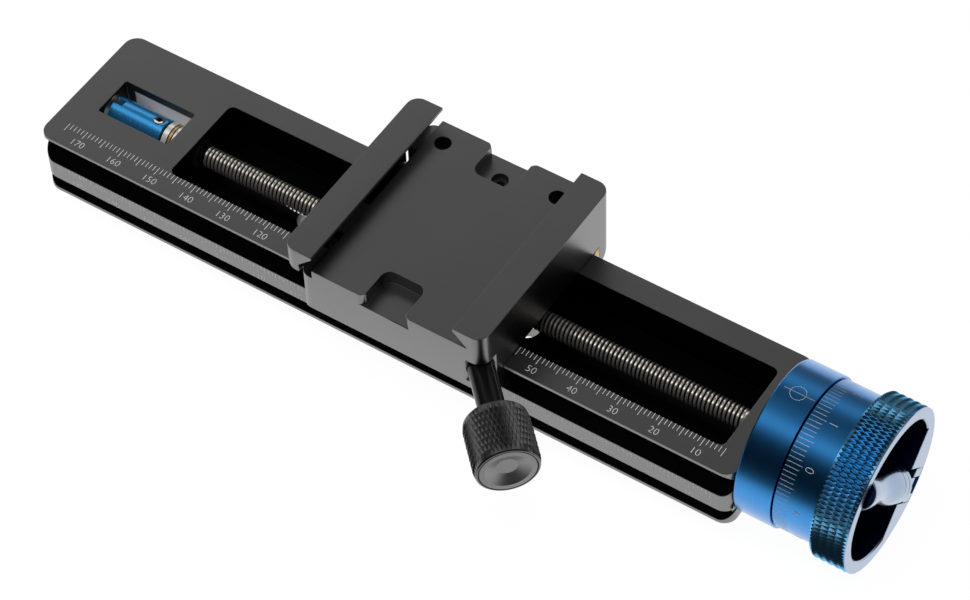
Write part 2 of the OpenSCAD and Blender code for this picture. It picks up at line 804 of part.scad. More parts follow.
module nut_block() {
    half_y = nut_block_w * half;
    x0 = x_mid - nut_block_len * half;
    x1 = x_mid + nut_block_len * half;
    low_z = floor_t + nut_block_floor_gap;
    color([0.12, 0.12, 0.12]) difference() {
        translate([0, 0, low_z]) linear_extrude(under_z - low_z)
            round_rect(x0, -half_y, x1, half_y, nut_block_edge_r);
        on_axis() x_cyl(nut_d, x0 - cut, x1 + cut);
        nut_screw_places() cylinder(d = m3_clear_d, h = rail_h + cut);
        nut_screw_places() translate([0, 0, low_z - cut]) cylinder(d = m3_head_d + 2 * fit_play,
            h = m3_head_t + cut + pass_gap);
    }
}

module lead_nut() {
    x0 = x_mid - nut_block_len * half;
    x1 = x_mid + nut_block_len * half;
    color([0.72, 0.55, 0.28]) on_axis() difference() {
        union() {
            x_cyl(nut_d, x0, x1);
            x_cyl(nut_flange_d, x1, x1 + nut_flange_t);
        }
        x_cyl(screw_d + fit_play, x0 - cut, x1 + nut_flange_t + cut);
    }
}

module nut_screws() {
    seat_z = floor_t + nut_block_floor_gap + m3_head_t + pass_gap;
    color([0.25, 0.25, 0.27]) nut_screw_places() translate([0, 0, seat_z]) mirror([0, 0, 1])
        cap_screw(m3_d, under_z - seat_z + nut_screw_depth, m3_head_d, m3_head_t, m3_hex_d);
}

module brass_gib() {
    flank_y = rail_side + flank_play;
    top_z = rail_h - gib_top_drop;
    nose_y = tongue_nose_y;
    nose_low_z = vee_low_z + (rail_side - nose_y) + tongue_root_play;
    root_y = nose_y + (nose_low_z - tongue_z);
    color([0.75, 0.58, 0.3]) along_x(x_left, x_right) polygon([
        [gib_wall_y, top_z], [flank_y + top_z - vee_top_z, top_z], [nose_y, vee_top_z - (flank_y - nose_y)],
        [nose_y, nose_low_z], [root_y, tongue_z], [gib_wall_y, tongue_z]
    ]);
}

module gib_screws() {
    low_z = rail_h - gib_top_drop;
    color([0.1, 0.1, 0.1]) gib_screw_places() translate([0, 0, low_z]) difference() {
        cylinder(d = gib_screw_d, h = gib_screw_len);
        translate([0, 0, gib_screw_len - gib_hex_depth])
            cylinder(d = gib_hex_d, h = gib_screw_len, $fn = 6);
    }
}

// One coil of round wire along X, as an unbroken tube
module coil(d, wire, x0, x1, turns) {
    ring_r = (d - wire) * half;
    wire_r = wire * half;
    steps = turns * coil_steps;
    run = x1 - x0 - wire;
    points = [for (i = [0 : steps], j = [0 : wire_sides - 1])
        let (a = i * 360 / coil_steps, b = j * 360 / wire_sides, r = ring_r + wire_r * cos(b))
            [x0 + wire_r + run * i / steps + wire_r * sin(b), r * cos(a), r * sin(a)]];
    walls = [for (i = [0 : steps - 1], j = [0 : wire_sides - 1])
        let (k = (j + 1) % wire_sides, p = i * wire_sides, q = p + wire_sides)
            each [[p + j, q + j, q + k], [p + j, q + k, p + k]]];
    ends = [[for (j = [0 : wire_sides - 1]) j],
        [for (j = [wire_sides - 1 : -1 : 0]) steps * wire_sides + j]];
    polyhedron(points, concat(walls, ends));
}

// Two springs that push the jaw open, at the length they have when the clamp is closed
module jaw_springs() {
    x0 = x_left - leg_gap + jaw_close + pass_gap * half;
    x1 = x_left + recess_depth + spring_seat_depth;
    color([0.7, 0.7, 0.7]) guide_pin_places() coil(spring_d, spring_wire, x0, x1, spring_turns);
}

// Moving jaw

module jaw_xz() {
    lip_x = x_mid - moving_lip_x;
    belly_x = jaw_left_x + jaw_belly_r;
    belly_z = jaw_low_z + jaw_belly_r;
    polygon([
        [jaw_left_x, belly_z], [jaw_left_x, jaw_top_z], [lip_x, jaw_top_z], [lip_x, seat_z + undercut],
        [lip_x - undercut, seat_z], [lip_x - undercut, jaw_low_z], [belly_x, jaw_low_z], [belly_x, belly_z]
    ]);
    intersection() {
        translate([belly_x, belly_z]) circle(jaw_belly_r);
        translate([jaw_left_x, jaw_low_z]) square(jaw_belly_r);
    }
}

module drawbar_screw_places() {
    bar_mid_z = (leg_z + rail_h + bar_top_rise) * half;
    for (y = [bar_y0 + drawbar_screw_inset, bar_y1 - drawbar_screw_inset])
        translate([jaw_left_x, y, bar_mid_z]) children();
}

module clamp_jaw() {
    leg_y = leg_w * half;
    leg_x1 = x_left - leg_gap;
    lip_x = x_mid - moving_lip_x;
    color([0.16, 0.16, 0.16]) difference() {
        union() {
            intersection() {
                along_y(-side_y, side_y) jaw_xz();
                linear_extrude(jaw_top_z + cut) round_rect(jaw_left_x, -side_y, lip_x + 2 * jaw_corner_r, side_y,
                    jaw_corner_r);
            }
            box([jaw_left_x, -leg_y, leg_z], [leg_x1, leg_y, seat_z]);
        }
        guide_pin_places() x_cyl(pin_d, leg_x1 - pin_root, leg_x1 + cut);
        drawbar_screw_places() x_cyl(drawbar_screw_d, 0, jaw_out_w);
        drawbar_screw_places() x_cyl(drawbar_screw_head_d + 2 * fit_play, -cut, drawbar_screw_head_t);
    }
}

module jaw_drawbar() {
    leg_x1 = x_left - leg_gap;
    color([0.55, 0.55, 0.57]) difference() {
        box([leg_x1, bar_y0, leg_z], [bar_end_x, bar_y1, rail_h + bar_top_rise]);
        intersection() {
            wedge_side(true);
            box([bar_notch_x, -side_y, 0], [x_right, side_y, jaw_top_z]);
        }
        drawbar_screw_places() x_cyl(drawbar_screw_d, 0, drawbar_screw_head_t + drawbar_screw_grip);
    }
}

module drawbar_screws() {
    color([0.25, 0.25, 0.27]) drawbar_screw_places() translate([drawbar_screw_head_t, 0, 0])
        rotate([0, -right_angle, 0]) cap_screw(drawbar_screw_d, drawbar_screw_grip, drawbar_screw_head_d,
            drawbar_screw_head_t, drawbar_screw_d * half);
}

module guide_pins() {
    leg_x1 = x_left - leg_gap;
    color([0.75, 0.75, 0.75]) guide_pin_places() x_cyl(pin_d, leg_x1 - pin_root, leg_x1 + pin_len);
}

// Clamp screw

module wedge_plunger() {
    color([0.6, 0.6, 0.62]) difference() {
        clamp_frame() translate([0, 0, -wedge_tip_in]) cylinder(d = nose_d, h = wedge_tip_in - spindle_nose_in);
        wedge_side(false);
    }
}

module clamp_spindle() {
    color([0.12, 0.12, 0.12]) clamp_frame() {
        translate([0, 0, -spindle_thread_in])
            cylinder(d = spindle_d, h = spindle_thread_in + knob_out + knob_len - cap_depth);
        translate([0, 0, -spindle_nose_in]) cylinder(d = nose_d, h = spindle_nose_in);
    }
}

module clamp_knob() {
    r = knob_d * half;
    bore = spindle_d * half;
    cap_r = cap_d * half;
    collar_r = knob_collar_d * half;
    end = knob_out + knob_len;
    color([0.1, 0.1, 0.1]) clamp_frame() rotate_extrude() polygon([
        [bore, knob_out], [collar_r, knob_out], [collar_r, knob_out + knob_collar_len],
        [r - knob_chamfer, knob_out + knob_collar_len],
        [r, knob_out + knob_collar_len + knob_chamfer], [r, end - knob_chamfer],
        [r - knob_chamfer, end], [cap_r, end], [cap_r, end - cap_depth],
        [bore, end - cap_depth]
    ]);
}

module knob_cap() {
    r = cap_d * half;
    disc_r = cap_disc_d * half;
    end = knob_out + knob_len;
    color([0.14, 0.14, 0.14]) clamp_frame() rotate_extrude() polygon([
        [0, end - cap_depth], [r, end - cap_depth], [r, end], [r - cap_land, end],
        [disc_r, end - cap_dish], [0, end - cap_dish]
    ]);
}

rail_body();
rear_bushing();
thrust_race_fixed();
thrust_cage();
thrust_balls();
bearing_outer_race();
bearing_balls();
index_ring();
ring_screws();
leadscrew();
bearing_inner_race();
thrust_race_turning();
lock_ring();
drive_coupling();
coupling_set_screw();
dial();
dial_screw();
crank_yoke();
crank_pin();
crank_arm();
handle_axle();
crank_handle();
carriage_body();
nut_block();
lead_nut();
nut_screws();
brass_gib();
gib_screws();
jaw_springs();
clamp_jaw();
jaw_drawbar();
drawbar_screws();
guide_pins();
wedge_plunger();
clamp_spindle();
clamp_knob();
knob_cap();
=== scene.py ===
import logging
import math
from collections.abc import Callable
from dataclasses import dataclass
from enum import Enum

import bmesh
import bpy
from mathutils import Matrix, Vector


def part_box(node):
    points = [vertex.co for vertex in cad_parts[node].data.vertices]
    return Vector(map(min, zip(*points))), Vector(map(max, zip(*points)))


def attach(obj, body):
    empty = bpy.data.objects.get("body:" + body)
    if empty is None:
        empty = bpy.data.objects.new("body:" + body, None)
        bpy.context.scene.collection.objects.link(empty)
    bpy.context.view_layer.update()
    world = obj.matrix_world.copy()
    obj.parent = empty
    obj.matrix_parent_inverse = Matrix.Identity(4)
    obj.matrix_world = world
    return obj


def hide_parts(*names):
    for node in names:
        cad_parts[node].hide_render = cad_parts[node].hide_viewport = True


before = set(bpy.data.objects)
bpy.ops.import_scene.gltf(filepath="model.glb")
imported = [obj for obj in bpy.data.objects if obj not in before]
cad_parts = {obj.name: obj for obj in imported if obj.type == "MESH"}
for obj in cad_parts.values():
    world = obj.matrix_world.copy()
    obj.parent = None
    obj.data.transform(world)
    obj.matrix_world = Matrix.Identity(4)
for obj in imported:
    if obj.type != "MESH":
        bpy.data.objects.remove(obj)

LOG = logging.getLogger("focusing_rail")
MM = 0.001
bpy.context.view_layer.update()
AXIS_Z = 12.4  # Height of the leadscrew's axis in mm
FACE_X = 89.8  # Place of the rail's dial end in mm

Piece = bpy.types.Object
Colour = tuple[float, float, float]
Point = tuple[float, float, float]
Profile = list[tuple[float, float]]
Stops = tuple[tuple[float, float], ...]


class Body(Enum):
    """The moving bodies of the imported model."""

    RAIL = "rail"
    SCREW = "screw"
    CRANK = "crank"
    HANDLE = "handle"
    CARRIAGE = "carriage"
    JAW = "jaw"
    KNOB = "knob"


class Axis(Enum):
    """Directions, as the place of a coordinate."""

    X = 0
    Y = 1
    Z = 2


def mm(x: float, y: float, z: float) -> Vector:
    """Vector in metres from millimetres."""
    return Vector((x, y, z)) * MM


def shifted(x: float, y: float, z: float) -> Matrix:
    """Move by millimetres."""
    return Matrix.Translation(mm(x, y, z))


def turned(degrees: float, axis: str) -> Matrix:
    """Turn round an axis, in degrees."""
    return Matrix.Rotation(math.radians(degrees), 4, axis)


def axial(x: float = 0.0) -> Matrix:
    """Frame on the screw's axis at x, whose Z points to the dial."""
    return shifted(x, 0, AXIS_Z) @ turned(90, "Y")


# Node maths


class Signal:
    """A socket that adds Math nodes when it is used in an expression."""

    def __init__(self, sheet: "NodeSheet", socket: bpy.types.NodeSocket) -> None:
        """Keeps the socket and the sheet that it belongs to."""
        self.sheet = sheet
        self.socket = socket

    def _math(self, operation: str, *values: object) -> "Signal":
        """Adds one Math node on signals or numbers."""
        return self.sheet.add("ShaderNodeMath", {"operation": operation}, dict(enumerate(values)))

    def __add__(self, other: object) -> "Signal":
        """Sum."""
        return self._math("ADD", self, other)

    __radd__ = __add__

    def __sub__(self, other: object) -> "Signal":
        """Difference."""
        return self._math("SUBTRACT", self, other)

    def __rsub__(self, other: object) -> "Signal":
        """Difference with the signal last."""
        return self._math("SUBTRACT", other, self)

    def __mul__(self, other: object) -> "Signal":
        """Product."""
        return self._math("MULTIPLY", self, other)

    __rmul__ = __mul__

    def __truediv__(self, other: object) -> "Signal":
        """Quotient."""
        return self._math("DIVIDE", self, other)

    def root(self) -> "Signal":
        """Square root."""
        return self._math("SQRT", self)

    def limited(self) -> "Signal":
        """The signal held between 0 and 1."""
        return self.sheet.add("ShaderNodeClamp", {}, {"Value": self})


class NodeSheet:
    """The node tree of one material."""

    def __init__(self, name: str) -> None:
        """Starts an empty material with a Principled shader on its output.

        Args:
            name: Name of the material.
        """
        self.material = bpy.data.materials.new(name)
        self.material.use_nodes = True
        self.tree = self.material.node_tree
        self.tree.nodes.clear()
        self.shader = self.tree.nodes.new("ShaderNodeBsdfPrincipled")
        self.output = self.tree.nodes.new("ShaderNodeOutputMaterial")
        self.tree.links.new(self.shader.outputs[0], self.output.inputs[0])

    @classmethod
    def on(cls, tree: bpy.types.NodeTree) -> "NodeSheet":
        """A sheet that adds nodes to a tree that exists."""
        sheet = cls.__new__(cls)
        sheet.tree = tree
        return sheet

    def feed(self, socket: bpy.types.NodeSocket, value: object) -> None:
        """Links a signal to a socket, or sets the socket's own value.

        Args:
            socket: The input socket.
            value: Signal, number, colour or vector.
        """
        if isinstance(value, Signal):
            self.tree.links.new(value.socket, socket)
        elif isinstance(value, tuple) and len(value) == 3 and socket.type == "RGBA":
            socket.default_value = (*value, 1.0)
        else:
            socket.default_value = value

    def add(self, kind: str, settings: dict, inputs: dict, output: object = 0) -> Signal:
        """Adds a node.

        Args:
            kind: The node's type.
            settings: Properties set first; "stops" is a ramp's list of (place, colour).
            inputs: Values or signals by socket name, identifier or number.
            output: Name or number of the output that is returned.

        Returns:
            The chosen output as a signal.
        """
        node = self.tree.nodes.new(kind)
        for key, value in settings.items():
            if key != "stops":
                setattr(node, key, value)
                continue
            ramp = node.color_ramp.elements
            while len(ramp) < len(value):
                ramp.new(0.5)
            for element, (place, colour) in zip(ramp, value):
                element.position = place
                element.color = (*colour, 1.0)
        by_identifier = {socket.identifier: socket for socket in node.inputs}
        for key, value in inputs.items():
            socket = by_identifier[key] if key in by_identifier else node.inputs[key]
            self.feed(socket, value)
        return Signal(self, node.outputs[output])

    def place(self) -> Signal:
        """Object coordinates in metres."""
        return self.add("ShaderNodeTexCoord", {}, {}, "Object")

    def coordinate(self, axis: Axis) -> Signal:
        """One object coordinate in metres."""
        return self.add("ShaderNodeSeparateXYZ", {}, {0: self.place()}, axis.value)

    def noise(self, scale: float, detail: float) -> Signal:
        """Noise between 0 and 1, with its features per metre and its octaves."""
        return self.add("ShaderNodeTexNoise", {},
                        {"Vector": self.place(), "Scale": scale, "Detail": detail})

    def lines(self, axis: Axis, scale: float) -> Signal:
        """Noise that changes along one axis only, as tool marks do."""
        return self.add("ShaderNodeTexNoise", {"noise_dimensions": "1D"},
                        {"W": self.coordinate(axis), "Scale": scale, "Detail": 3.0})

    def blend(self, factor: object, first: object, second: object) -> Signal:
        """Mix of two colours."""
        return self.add("ShaderNodeMix", {"data_type": "RGBA"},
                        {"Factor_Float": factor, "A_Color": first, "B_Color": second}, 2)

    def bump(self, height: Signal, depth: float, strength: float = 1.0) -> Signal:
        """Normal from a height, with the depth in metres."""
        return self.add("ShaderNodeBump", {},
                        {"Height": height, "Distance": depth, "Strength": strength})

    def dress(self, **sockets: object) -> bpy.types.Material:
        """Sets the Principled shader's sockets, with _ for a space, and returns the material."""
        for name, value in sockets.items():
            self.feed(self.shader.inputs[name.replace("_", " ")], value)
        return self.material


# Finishes


@dataclass(frozen=True)
class Finish:
    """What every finish has."""

    name: str
    colour: Colour

    def tint(self, share: float) -> Colour:
        """The colour darker, or lighter up to white."""
        return tuple(min(1.0, c * share) for c in self.colour)


@dataclass(frozen=True)
class BlastedAnodising(Finish):
    """Fine blasted aluminium, dyed and sealed, with a faint sheen."""

    roughness: float = 0.34
    grain: float = 0.0000025  # Depth of the blasted grain in metres

    def build(self) -> bpy.types.Material:
        """Makes the material.

        Returns:
            The material.
        """
        sheet = NodeSheet(self.name)
        fine = sheet.noise(5200.0, 2.0)
        cloud = sheet.noise(55.0, 3.0)
        tone = (fine * 0.65 + cloud * 0.5 - 0.08).limited()
        return sheet.dress(
            Base_Color=sheet.blend(tone, self.tint(0.86), self.tint(1.16)), Metallic=1.0,
            Roughness=(self.roughness - 0.05 + fine * 0.05 + cloud * 0.06).limited(),
            Normal=sheet.bump(fine, self.grain, 0.5))


@dataclass(frozen=True)
class TurnedAnodising(Finish):
    """Dyed aluminium that shows the fine rings of the lathe."""

    roughness: float = 0.33
    shade: float = 0.9  # How much darker the dark rings are
    metallic: float = 1.0
    coat: float = 1.0
    axis: Axis = Axis.X  # Direction of the lathe's feed
    rings: float = 2600.0  # Rings per metre
    depth: float = 0.0000006  # Depth of the rings in metres

    def build(self) -> bpy.types.Material:
        """Makes the material.

        Returns:
            The material.
        """
        sheet = NodeSheet(self.name)
        rings = sheet.lines(self.axis, self.rings)
        cloud = sheet.noise(90.0, 3.0)
        tone = (rings * 0.7 + cloud * 0.4 - 0.05).limited()
        return sheet.dress(
            Base_Color=sheet.blend(tone, self.tint(self.shade), self.tint(1.12)),
            Metallic=self.metallic, Coat_Weight=self.coat, Coat_Roughness=0.3, Coat_IOR=1.32,
            Roughness=(self.roughness - 0.06 + rings * 0.08 + cloud * 0.04).limited(),
            Normal=sheet.bump(rings, self.depth))


@dataclass(frozen=True)
class MachinedMetal(Finish):
    """Bare steel or brass with tool marks and a little tarnish."""

    tarnish: Colour
    roughness: float = 0.22
    metallic: float = 1.0
    axis: Axis = Axis.X  # Direction across the tool marks
    marks: float = 3800.0  # Tool marks per metre
    depth: float = 0.0000012  # Depth of the tool marks in metres

    def build(self) -> bpy.types.Material:
        """Makes the material.

        Returns:
            The material.
        """
        sheet = NodeSheet(self.name)
        marks = sheet.lines(self.axis, self.marks)
        dull = (sheet.noise(380.0, 4.0) * 2.2 - 0.85).limited()
        return sheet.dress(
            Base_Color=sheet.blend(dull * 0.6, self.colour, self.tarnish), Metallic=self.metallic,
            Roughness=(self.roughness - 0.05 + marks * 0.1 + dull * 0.08).limited(),
            Normal=sheet.bump(marks, self.depth))


@dataclass(frozen=True)
class ThreadedSteel(Finish):
    """Steel of the leadscrew, with painted shade in the roots and crests paler than steel as
    painted highlight.
    """

    # Colour of the painted shade in the roots
    root: Colour
    root_r: float = 0.00205
    crest_r: float = 0.0024

    def build(self) -> bpy.types.Material:
        """Makes the material.

        Returns:
            The material.
        """
        sheet = NodeSheet(self.name)
        side = sheet.coordinate(Axis.Y)
        height = sheet.coordinate(Axis.Z) - AXIS_Z * MM
        radius = (side * side + height * height).root()
        # Painted light: darker towards the roots, palest on the crests
        lit = ((radius - self.root_r) / (self.crest_r - self.root_r)).limited()
        wear = sheet.noise(900.0, 3.0)
        bright = (lit * (wear * 0.3 + 0.85)).limited()
        return sheet.dress(Base_Color=sheet.blend(bright, self.root, self.colour), Metallic=0.92,
                           Roughness=(wear * 0.08 + 0.09).limited())


@dataclass(frozen=True)
class OxideSteel(Finish):
    """Blackened steel of screws and of the clamp screw."""

    roughness: float = 0.24

    def build(self) -> bpy.types.Material:
        """Makes the material.

        Returns:
            The material.
        """
        sheet = NodeSheet(self.name)
        patches = sheet.noise(700.0, 4.0)
        fine = sheet.noise(4200.0, 2.0)
        return sheet.dress(
            Base_Color=sheet.blend(patches, self.tint(0.7), self.colour), Metallic=0.85,
            Roughness=(self.roughness - 0.06 + patches * 0.12).limited(),
            Normal=sheet.bump(fine, 0.000002))


@dataclass(frozen=True)
class PocketWall(Finish):
    """Far wall of the drive pocket, with a painted reflection of the pale floor on its lower part
    and near black above.
    """

    dark: Colour
    top_z: float = 0.0153  # Height where the painted reflection ends, in metres
    start_x: float = -0.0803  # Place where the painted reflection starts, in metres

    def build(self) -> bpy.types.Material:
        """Makes the material.

        Returns:
            The material.
        """
        sheet = NodeSheet(self.name)
        # Painted reflection: the pale colour low on the wall and past start_x, near black
        # elsewhere
        low = ((self.top_z - sheet.coordinate(Axis.Z)) / 0.0003).limited()
        past = ((sheet.coordinate(Axis.X) - self.start_x) / 0.0004).limited()
        grain = sheet.noise(900.0, 3.0)
        lit = (low * past * (grain * 0.2 + 0.85)).limited()
        return sheet.dress(Base_Color=sheet.blend(lit, self.dark, self.colour), Metallic=0.15,
                           Roughness=(grain * 0.1 + 0.36).limited())


@dataclass(frozen=True)
class EngravingFill(Finish):
    """Pale fill of the engraved marks, slightly uneven."""

    def build(self) -> bpy.types.Material:
        """Makes the material.

        Returns:
            The material.
        """
        sheet = NodeSheet(self.name)
        wear = sheet.noise(2600.0, 3.0)
        tone = (wear * 1.6 - 0.3).limited()
        return sheet.dress(Base_Color=sheet.blend(tone, self.tint(0.72), self.colour),
                           Roughness=(0.5 + wear * 0.2).limited())


class Paint(Enum):
    """The finishes of the rail."""

    BLACK = BlastedAnodising("black_blasted", (0.25, 0.247, 0.247))
    # Near-black painted shade for the insides of the openings and the groove
    MILLED = BlastedAnodising("black_painted_shade", (0.014, 0.014, 0.016), 0.42)
    BLACK_KNURL = BlastedAnodising("black_knurled", (0.19, 0.19, 0.195), 0.28)
    # Painted reflection of the floor on the pocket's far wall
    POCKET_WALL = PocketWall("pocket_wall_painted_reflection", (0.74, 0.7, 0.66), (0.01, 0.01, 0.01))
    RING = TurnedAnodising("blue_ring", (0.026, 0.275, 0.7), 0.3, 0.92)
    BAND = TurnedAnodising("blue_dial", (0.026, 0.275, 0.7), 0.3, 0.94)
    # Paler than the band's dye: painted highlight of the knurl's bright facets
    BLUE_KNURL = TurnedAnodising("blue_knurl_painted_highlight", (0.14, 0.5, 0.85), 0.13, 0.95)
    # Dark navy painted shade inside the dial's hollow, the handle's bore and its axle
    HOLLOW = TurnedAnodising("blue_hollow_painted_shade", (0.02, 0.05, 0.16), coat=0.0)
    COUPLING = TurnedAnodising("blue_coupling", (0.05, 0.43, 1.0), 0.2, metallic=0.85)
    CUT_RIM = TurnedAnodising("cut_rim", (0.31, 0.41, 0.57), 0.22, coat=0.4)
    # Near-white crests as painted highlight, near-black roots as painted shade
    STEEL = ThreadedSteel("bright_screw", (1.0, 0.96, 0.88), (0.035, 0.025, 0.02))
    BEARING = MachinedMetal("ground_steel", (0.9, 0.88, 0.85), (0.7, 0.66, 0.6), 0.16, 0.6)
    BRASS = MachinedMetal("brass_parts", (0.72, 0.48, 0.2), (0.4, 0.25, 0.1), metallic=0.75)
    OXIDE = OxideSteel("oxide_screws", (0.09, 0.09, 0.1))
    SPINDLE = OxideSteel("oxide_spindle", (0.022, 0.022, 0.024), 0.2)
    SCALE_FILL = EngravingFill("scale_fill", (0.72, 0.72, 0.7))
    DIAL_FILL = EngravingFill("dial_fill", (0.4, 0.47, 0.53))

    def material(self) -> bpy.types.Material:
        """The finish's material, made on its first use."""
        return bpy.data.materials.get(self.value.name) or self.value.build()


# Modelling by operators


def pick(*pieces: Piece) -> None:
    """Leaves edit mode and selects these pieces alone.

    Args:
        *pieces: The pieces, of which the first becomes active, or none.
    """
    if bpy.context.mode != "OBJECT":
        bpy.ops.object.mode_set(mode="OBJECT")
    bpy.ops.object.select_all(action="DESELECT")
    for piece in pieces:
        piece.select_set(True)
    if pieces:
        bpy.context.view_layer.objects.active = pieces[0]


def edit(piece: Piece) -> None:
    """Opens a piece in edit mode with everything selected.

    Args:
        piece: The piece.
    """
    pick(piece)
    bpy.ops.object.mode_set(mode="EDIT")
    bpy.ops.mesh.select_mode(type="VERT")
    bpy.ops.mesh.select_all(action="SELECT")


def done() -> None:
    """Closes edit mode."""
    bpy.ops.object.mode_set(mode="OBJECT")


def settle(piece: Piece, matrix: Matrix | None = None) -> Piece:
    """Puts a piece in its place and moves that place into its mesh.

    Args:
        piece: The piece.
        matrix: Its place, or None for where it stands.

    Returns:
        The piece, with its object at the origin.
    """
    pick(piece)
    if matrix is not None:
        piece.matrix_world = matrix @ piece.matrix_world
        bpy.context.view_layer.update()
    bpy.ops.object.transform_apply(location=True, rotation=True, scale=True)
    return piece


def apply(piece: Piece, kind: str, **settings: object) -> Piece:
    """Adds one modifier and applies it.

    Args:
        piece: The piece.
        kind: Type of the modifier.
        **settings: The modifier's properties.

    Returns:
        The piece.
    """
    pick(piece)
    modifier = piece.modifiers.new(kind.title(), kind)
    for key, value in settings.items():
        setattr(modifier, key, value)
    bpy.ops.object.modifier_apply(modifier=modifier.name)
    return piece


def cut(piece: Piece, tool: Piece, operation: str = "DIFFERENCE") -> None:
    """Cuts a piece with a tool, which is used up.

    Args:
        piece: The piece.
        tool: The solid that cuts it.
        operation: DIFFERENCE or INTERSECT.
    """
    apply(piece, "BOOLEAN", operation=operation, solver="EXACT", object=tool)
    pick(tool)
    bpy.ops.object.delete()


def smooth(piece: Piece, degrees: float = 32.0) -> Piece:
    """Smooths the shading across edges flatter than an angle.

    Args:
        piece: The piece.
        degrees: The angle.

    Returns:
        The piece.
    """
    pick(piece)
    bpy.ops.object.shade_smooth_by_angle(angle=math.radians(degrees))
    return piece


def join(pieces: list[Piece], name: str) -> Piece:
    """Joins pieces into one object.

    Args:
        pieces: The pieces, of which the first stays.
        name: The joined object's name.

    Returns:
        The joined object.
    """
    pick(*pieces)
    bpy.ops.object.join()
    pieces[0].name = pieces[0].data.name = name
    return pieces[0]


def eased_copy(node: str, name: str, width: float, weld: float = 0.002) -> Piece:
    """Copies a CAD node as one clean mesh and rounds its sharp edges.

    Args:
        node: The CAD node.
        name: Name of the copy.
        width: Width of the rounding in mm.
        weld: Vertices closer than this, in mm, become one.

    Returns:
        The finished piece.
    """
    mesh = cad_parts[node].data.copy()
    mesh.materials.clear()
    piece = bpy.data.objects.new(name, mesh)
    bpy.context.scene.collection.objects.link(piece)
    edit(piece)
    bpy.ops.mesh.customdata_custom_splitnormals_clear()
    bpy.ops.mesh.remove_doubles(threshold=weld * MM)
    bpy.ops.mesh.dissolve_limited(angle_limit=math.radians(0.4))
    done()
    apply(piece, "BEVEL", width=width * MM, segments=2, limit_method="ANGLE",
          angle_limit=math.radians(28), use_clamp_overlap=False,
          miter_outer="MITER_ARC", loop_slide=False, harden_normals=False)
    keep_within(piece, node)
    smooth(piece)
    return apply(piece, "WEIGHTED_NORMAL", mode="FACE_AREA", keep_sharp=True)


def keep_within(piece: Piece, node: str) -> None:
    """Presses flat what a rounding has pushed past a CAD node's box.

    Args:
        piece: The piece, in the node's place.
        node: The CAD node.
    """
    low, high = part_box(node)
    for axis in range(3):
        for limit, sign in ((low[axis], -1), (high[axis], 1)):
            flat = tuple(0 if i == axis else 1 for i in range(3))
            edit(piece)
            select_where(piece, lambda co: (co[axis] - limit) * sign > 1e-7)
            bpy.ops.transform.resize(value=flat,
                                     center_override=tuple(limit * (1 - f) for f in flat))
            done()


def lathe(name: str, profile: Profile, facets: int, place: Matrix | None = None,
          closed: bool = False) -> Piece:
    """Turns a profile round local Z, one extruded ring after another.

    Args:
        name: Name of the piece.
        profile: Points (height, radius) in mm; radius 0 ends in a pole.
        facets: Facets round the axis.
        place: Where the piece goes, or None for local Z at the origin.
        closed: Whether the last point runs back to the first.

    Returns:
        The turned piece.
    """
    pole_r = 0.01
    height, first = profile[0]
    first = first if first > 0 else pole_r
    pick()
    bpy.ops.mesh.primitive_circle_add(vertices=facets, radius=first * MM,
                                      location=(0, 0, height * MM))
    piece = bpy.context.active_object
    piece.name = piece.data.name = name
    settle(piece)
    edit(piece)
    here = (height, first)
    for height, radius in profile[1:] + ([profile[0]] if closed else []):
        target = radius if radius > 0 else pole_r
        bpy.ops.mesh.extrude_region_move(
            TRANSFORM_OT_translate={"value": (0, 0, (height - here[0]) * MM)})
        ratio = target / here[1]
        if abs(ratio - 1) > 1e-6:
            bpy.ops.transform.resize(value=(ratio, ratio, 1),
                                     center_override=(0, 0, height * MM))
        here = (height, target)
    if profile[-1][1] <= 0 and not closed:
        bpy.ops.mesh.merge(type="CENTER")
    bpy.ops.mesh.select_all(action="SELECT")
    bpy.ops.mesh.remove_doubles(threshold=0.000004)
    bpy.ops.mesh.normals_make_consistent(inside=False)
    done()
    return piece if place is None else settle(piece, place)


def select_where(piece: Piece, test: Callable[[Vector], bool]) -> None:
    """Selects the vertices that a test accepts, in edit mode.

    Args:
        piece: The piece being edited.
        test: Whether the vertex at a place is wanted.
    """
    bpy.ops.mesh.select_all(action="DESELECT")
    net = bmesh.from_edit_mesh(piece.data)
    for vertex in net.verts:
        if test(vertex.co):
            vertex.select = True
    net.select_flush_mode()
    bmesh.update_edit_mesh(piece.data)


def knurl(piece: Piece, rows: list[float], pit_r: float, tip_r: float, diamonds: int) -> None:
    """Raises every second vertex of each row to the point of a diamond.

    Args:
        piece: The piece on local Z, with two facets to a diamond.
        rows: Heights of the rows in mm.
        pit_r: Radius of the rows as turned, in mm.
        tip_r: Radius of the points, in mm.
        diamonds: Diamonds in one row.
    """
    near = 0.2 * (rows[1] - rows[0])

    def in_skin(co: Vector) -> bool:
        """Whether a vertex lies on the knurled face."""
        return math.hypot(co.x, co.y) > (pit_r - 0.05) * MM

    def is_point(co: Vector) -> bool:
        """Whether a vertex is the point of a diamond."""
        facet = round(math.atan2(co.y, co.x) * diamonds / math.pi)
        return in_skin(co) and any(abs(co.z / MM - z) < near and (facet + row) % 2 == 0
                                   for row, z in enumerate(rows))

    edit(piece)
    select_where(piece, is_point)
    ratio = tip_r / pit_r
    bpy.ops.transform.resize(value=(ratio, ratio, 1), center_override=(0, 0, 0))
    select_where(piece, in_skin)
    bpy.ops.mesh.quads_convert_to_tris(quad_method="SHORTEST_DIAGONAL")
    done()


def strip(name: str, width: float, length: float) -> Piece:
    """One thin mark on local XY, running from the origin along +Y.

    Args:
        name: Name of the mark.
        width: Width along X in mm.
        length: Length along Y in mm.

    Returns:
        The mark.
    """
    middle = (0, length * 0.5 * MM, 0)
    pick()
    bpy.ops.mesh.primitive_plane_add(size=MM, location=middle)
    piece = bpy.context.active_object
    piece.name = name
    edit(piece)
    bpy.ops.transform.resize(value=(width, length, 1), center_override=middle)
    done()
    return settle(piece)


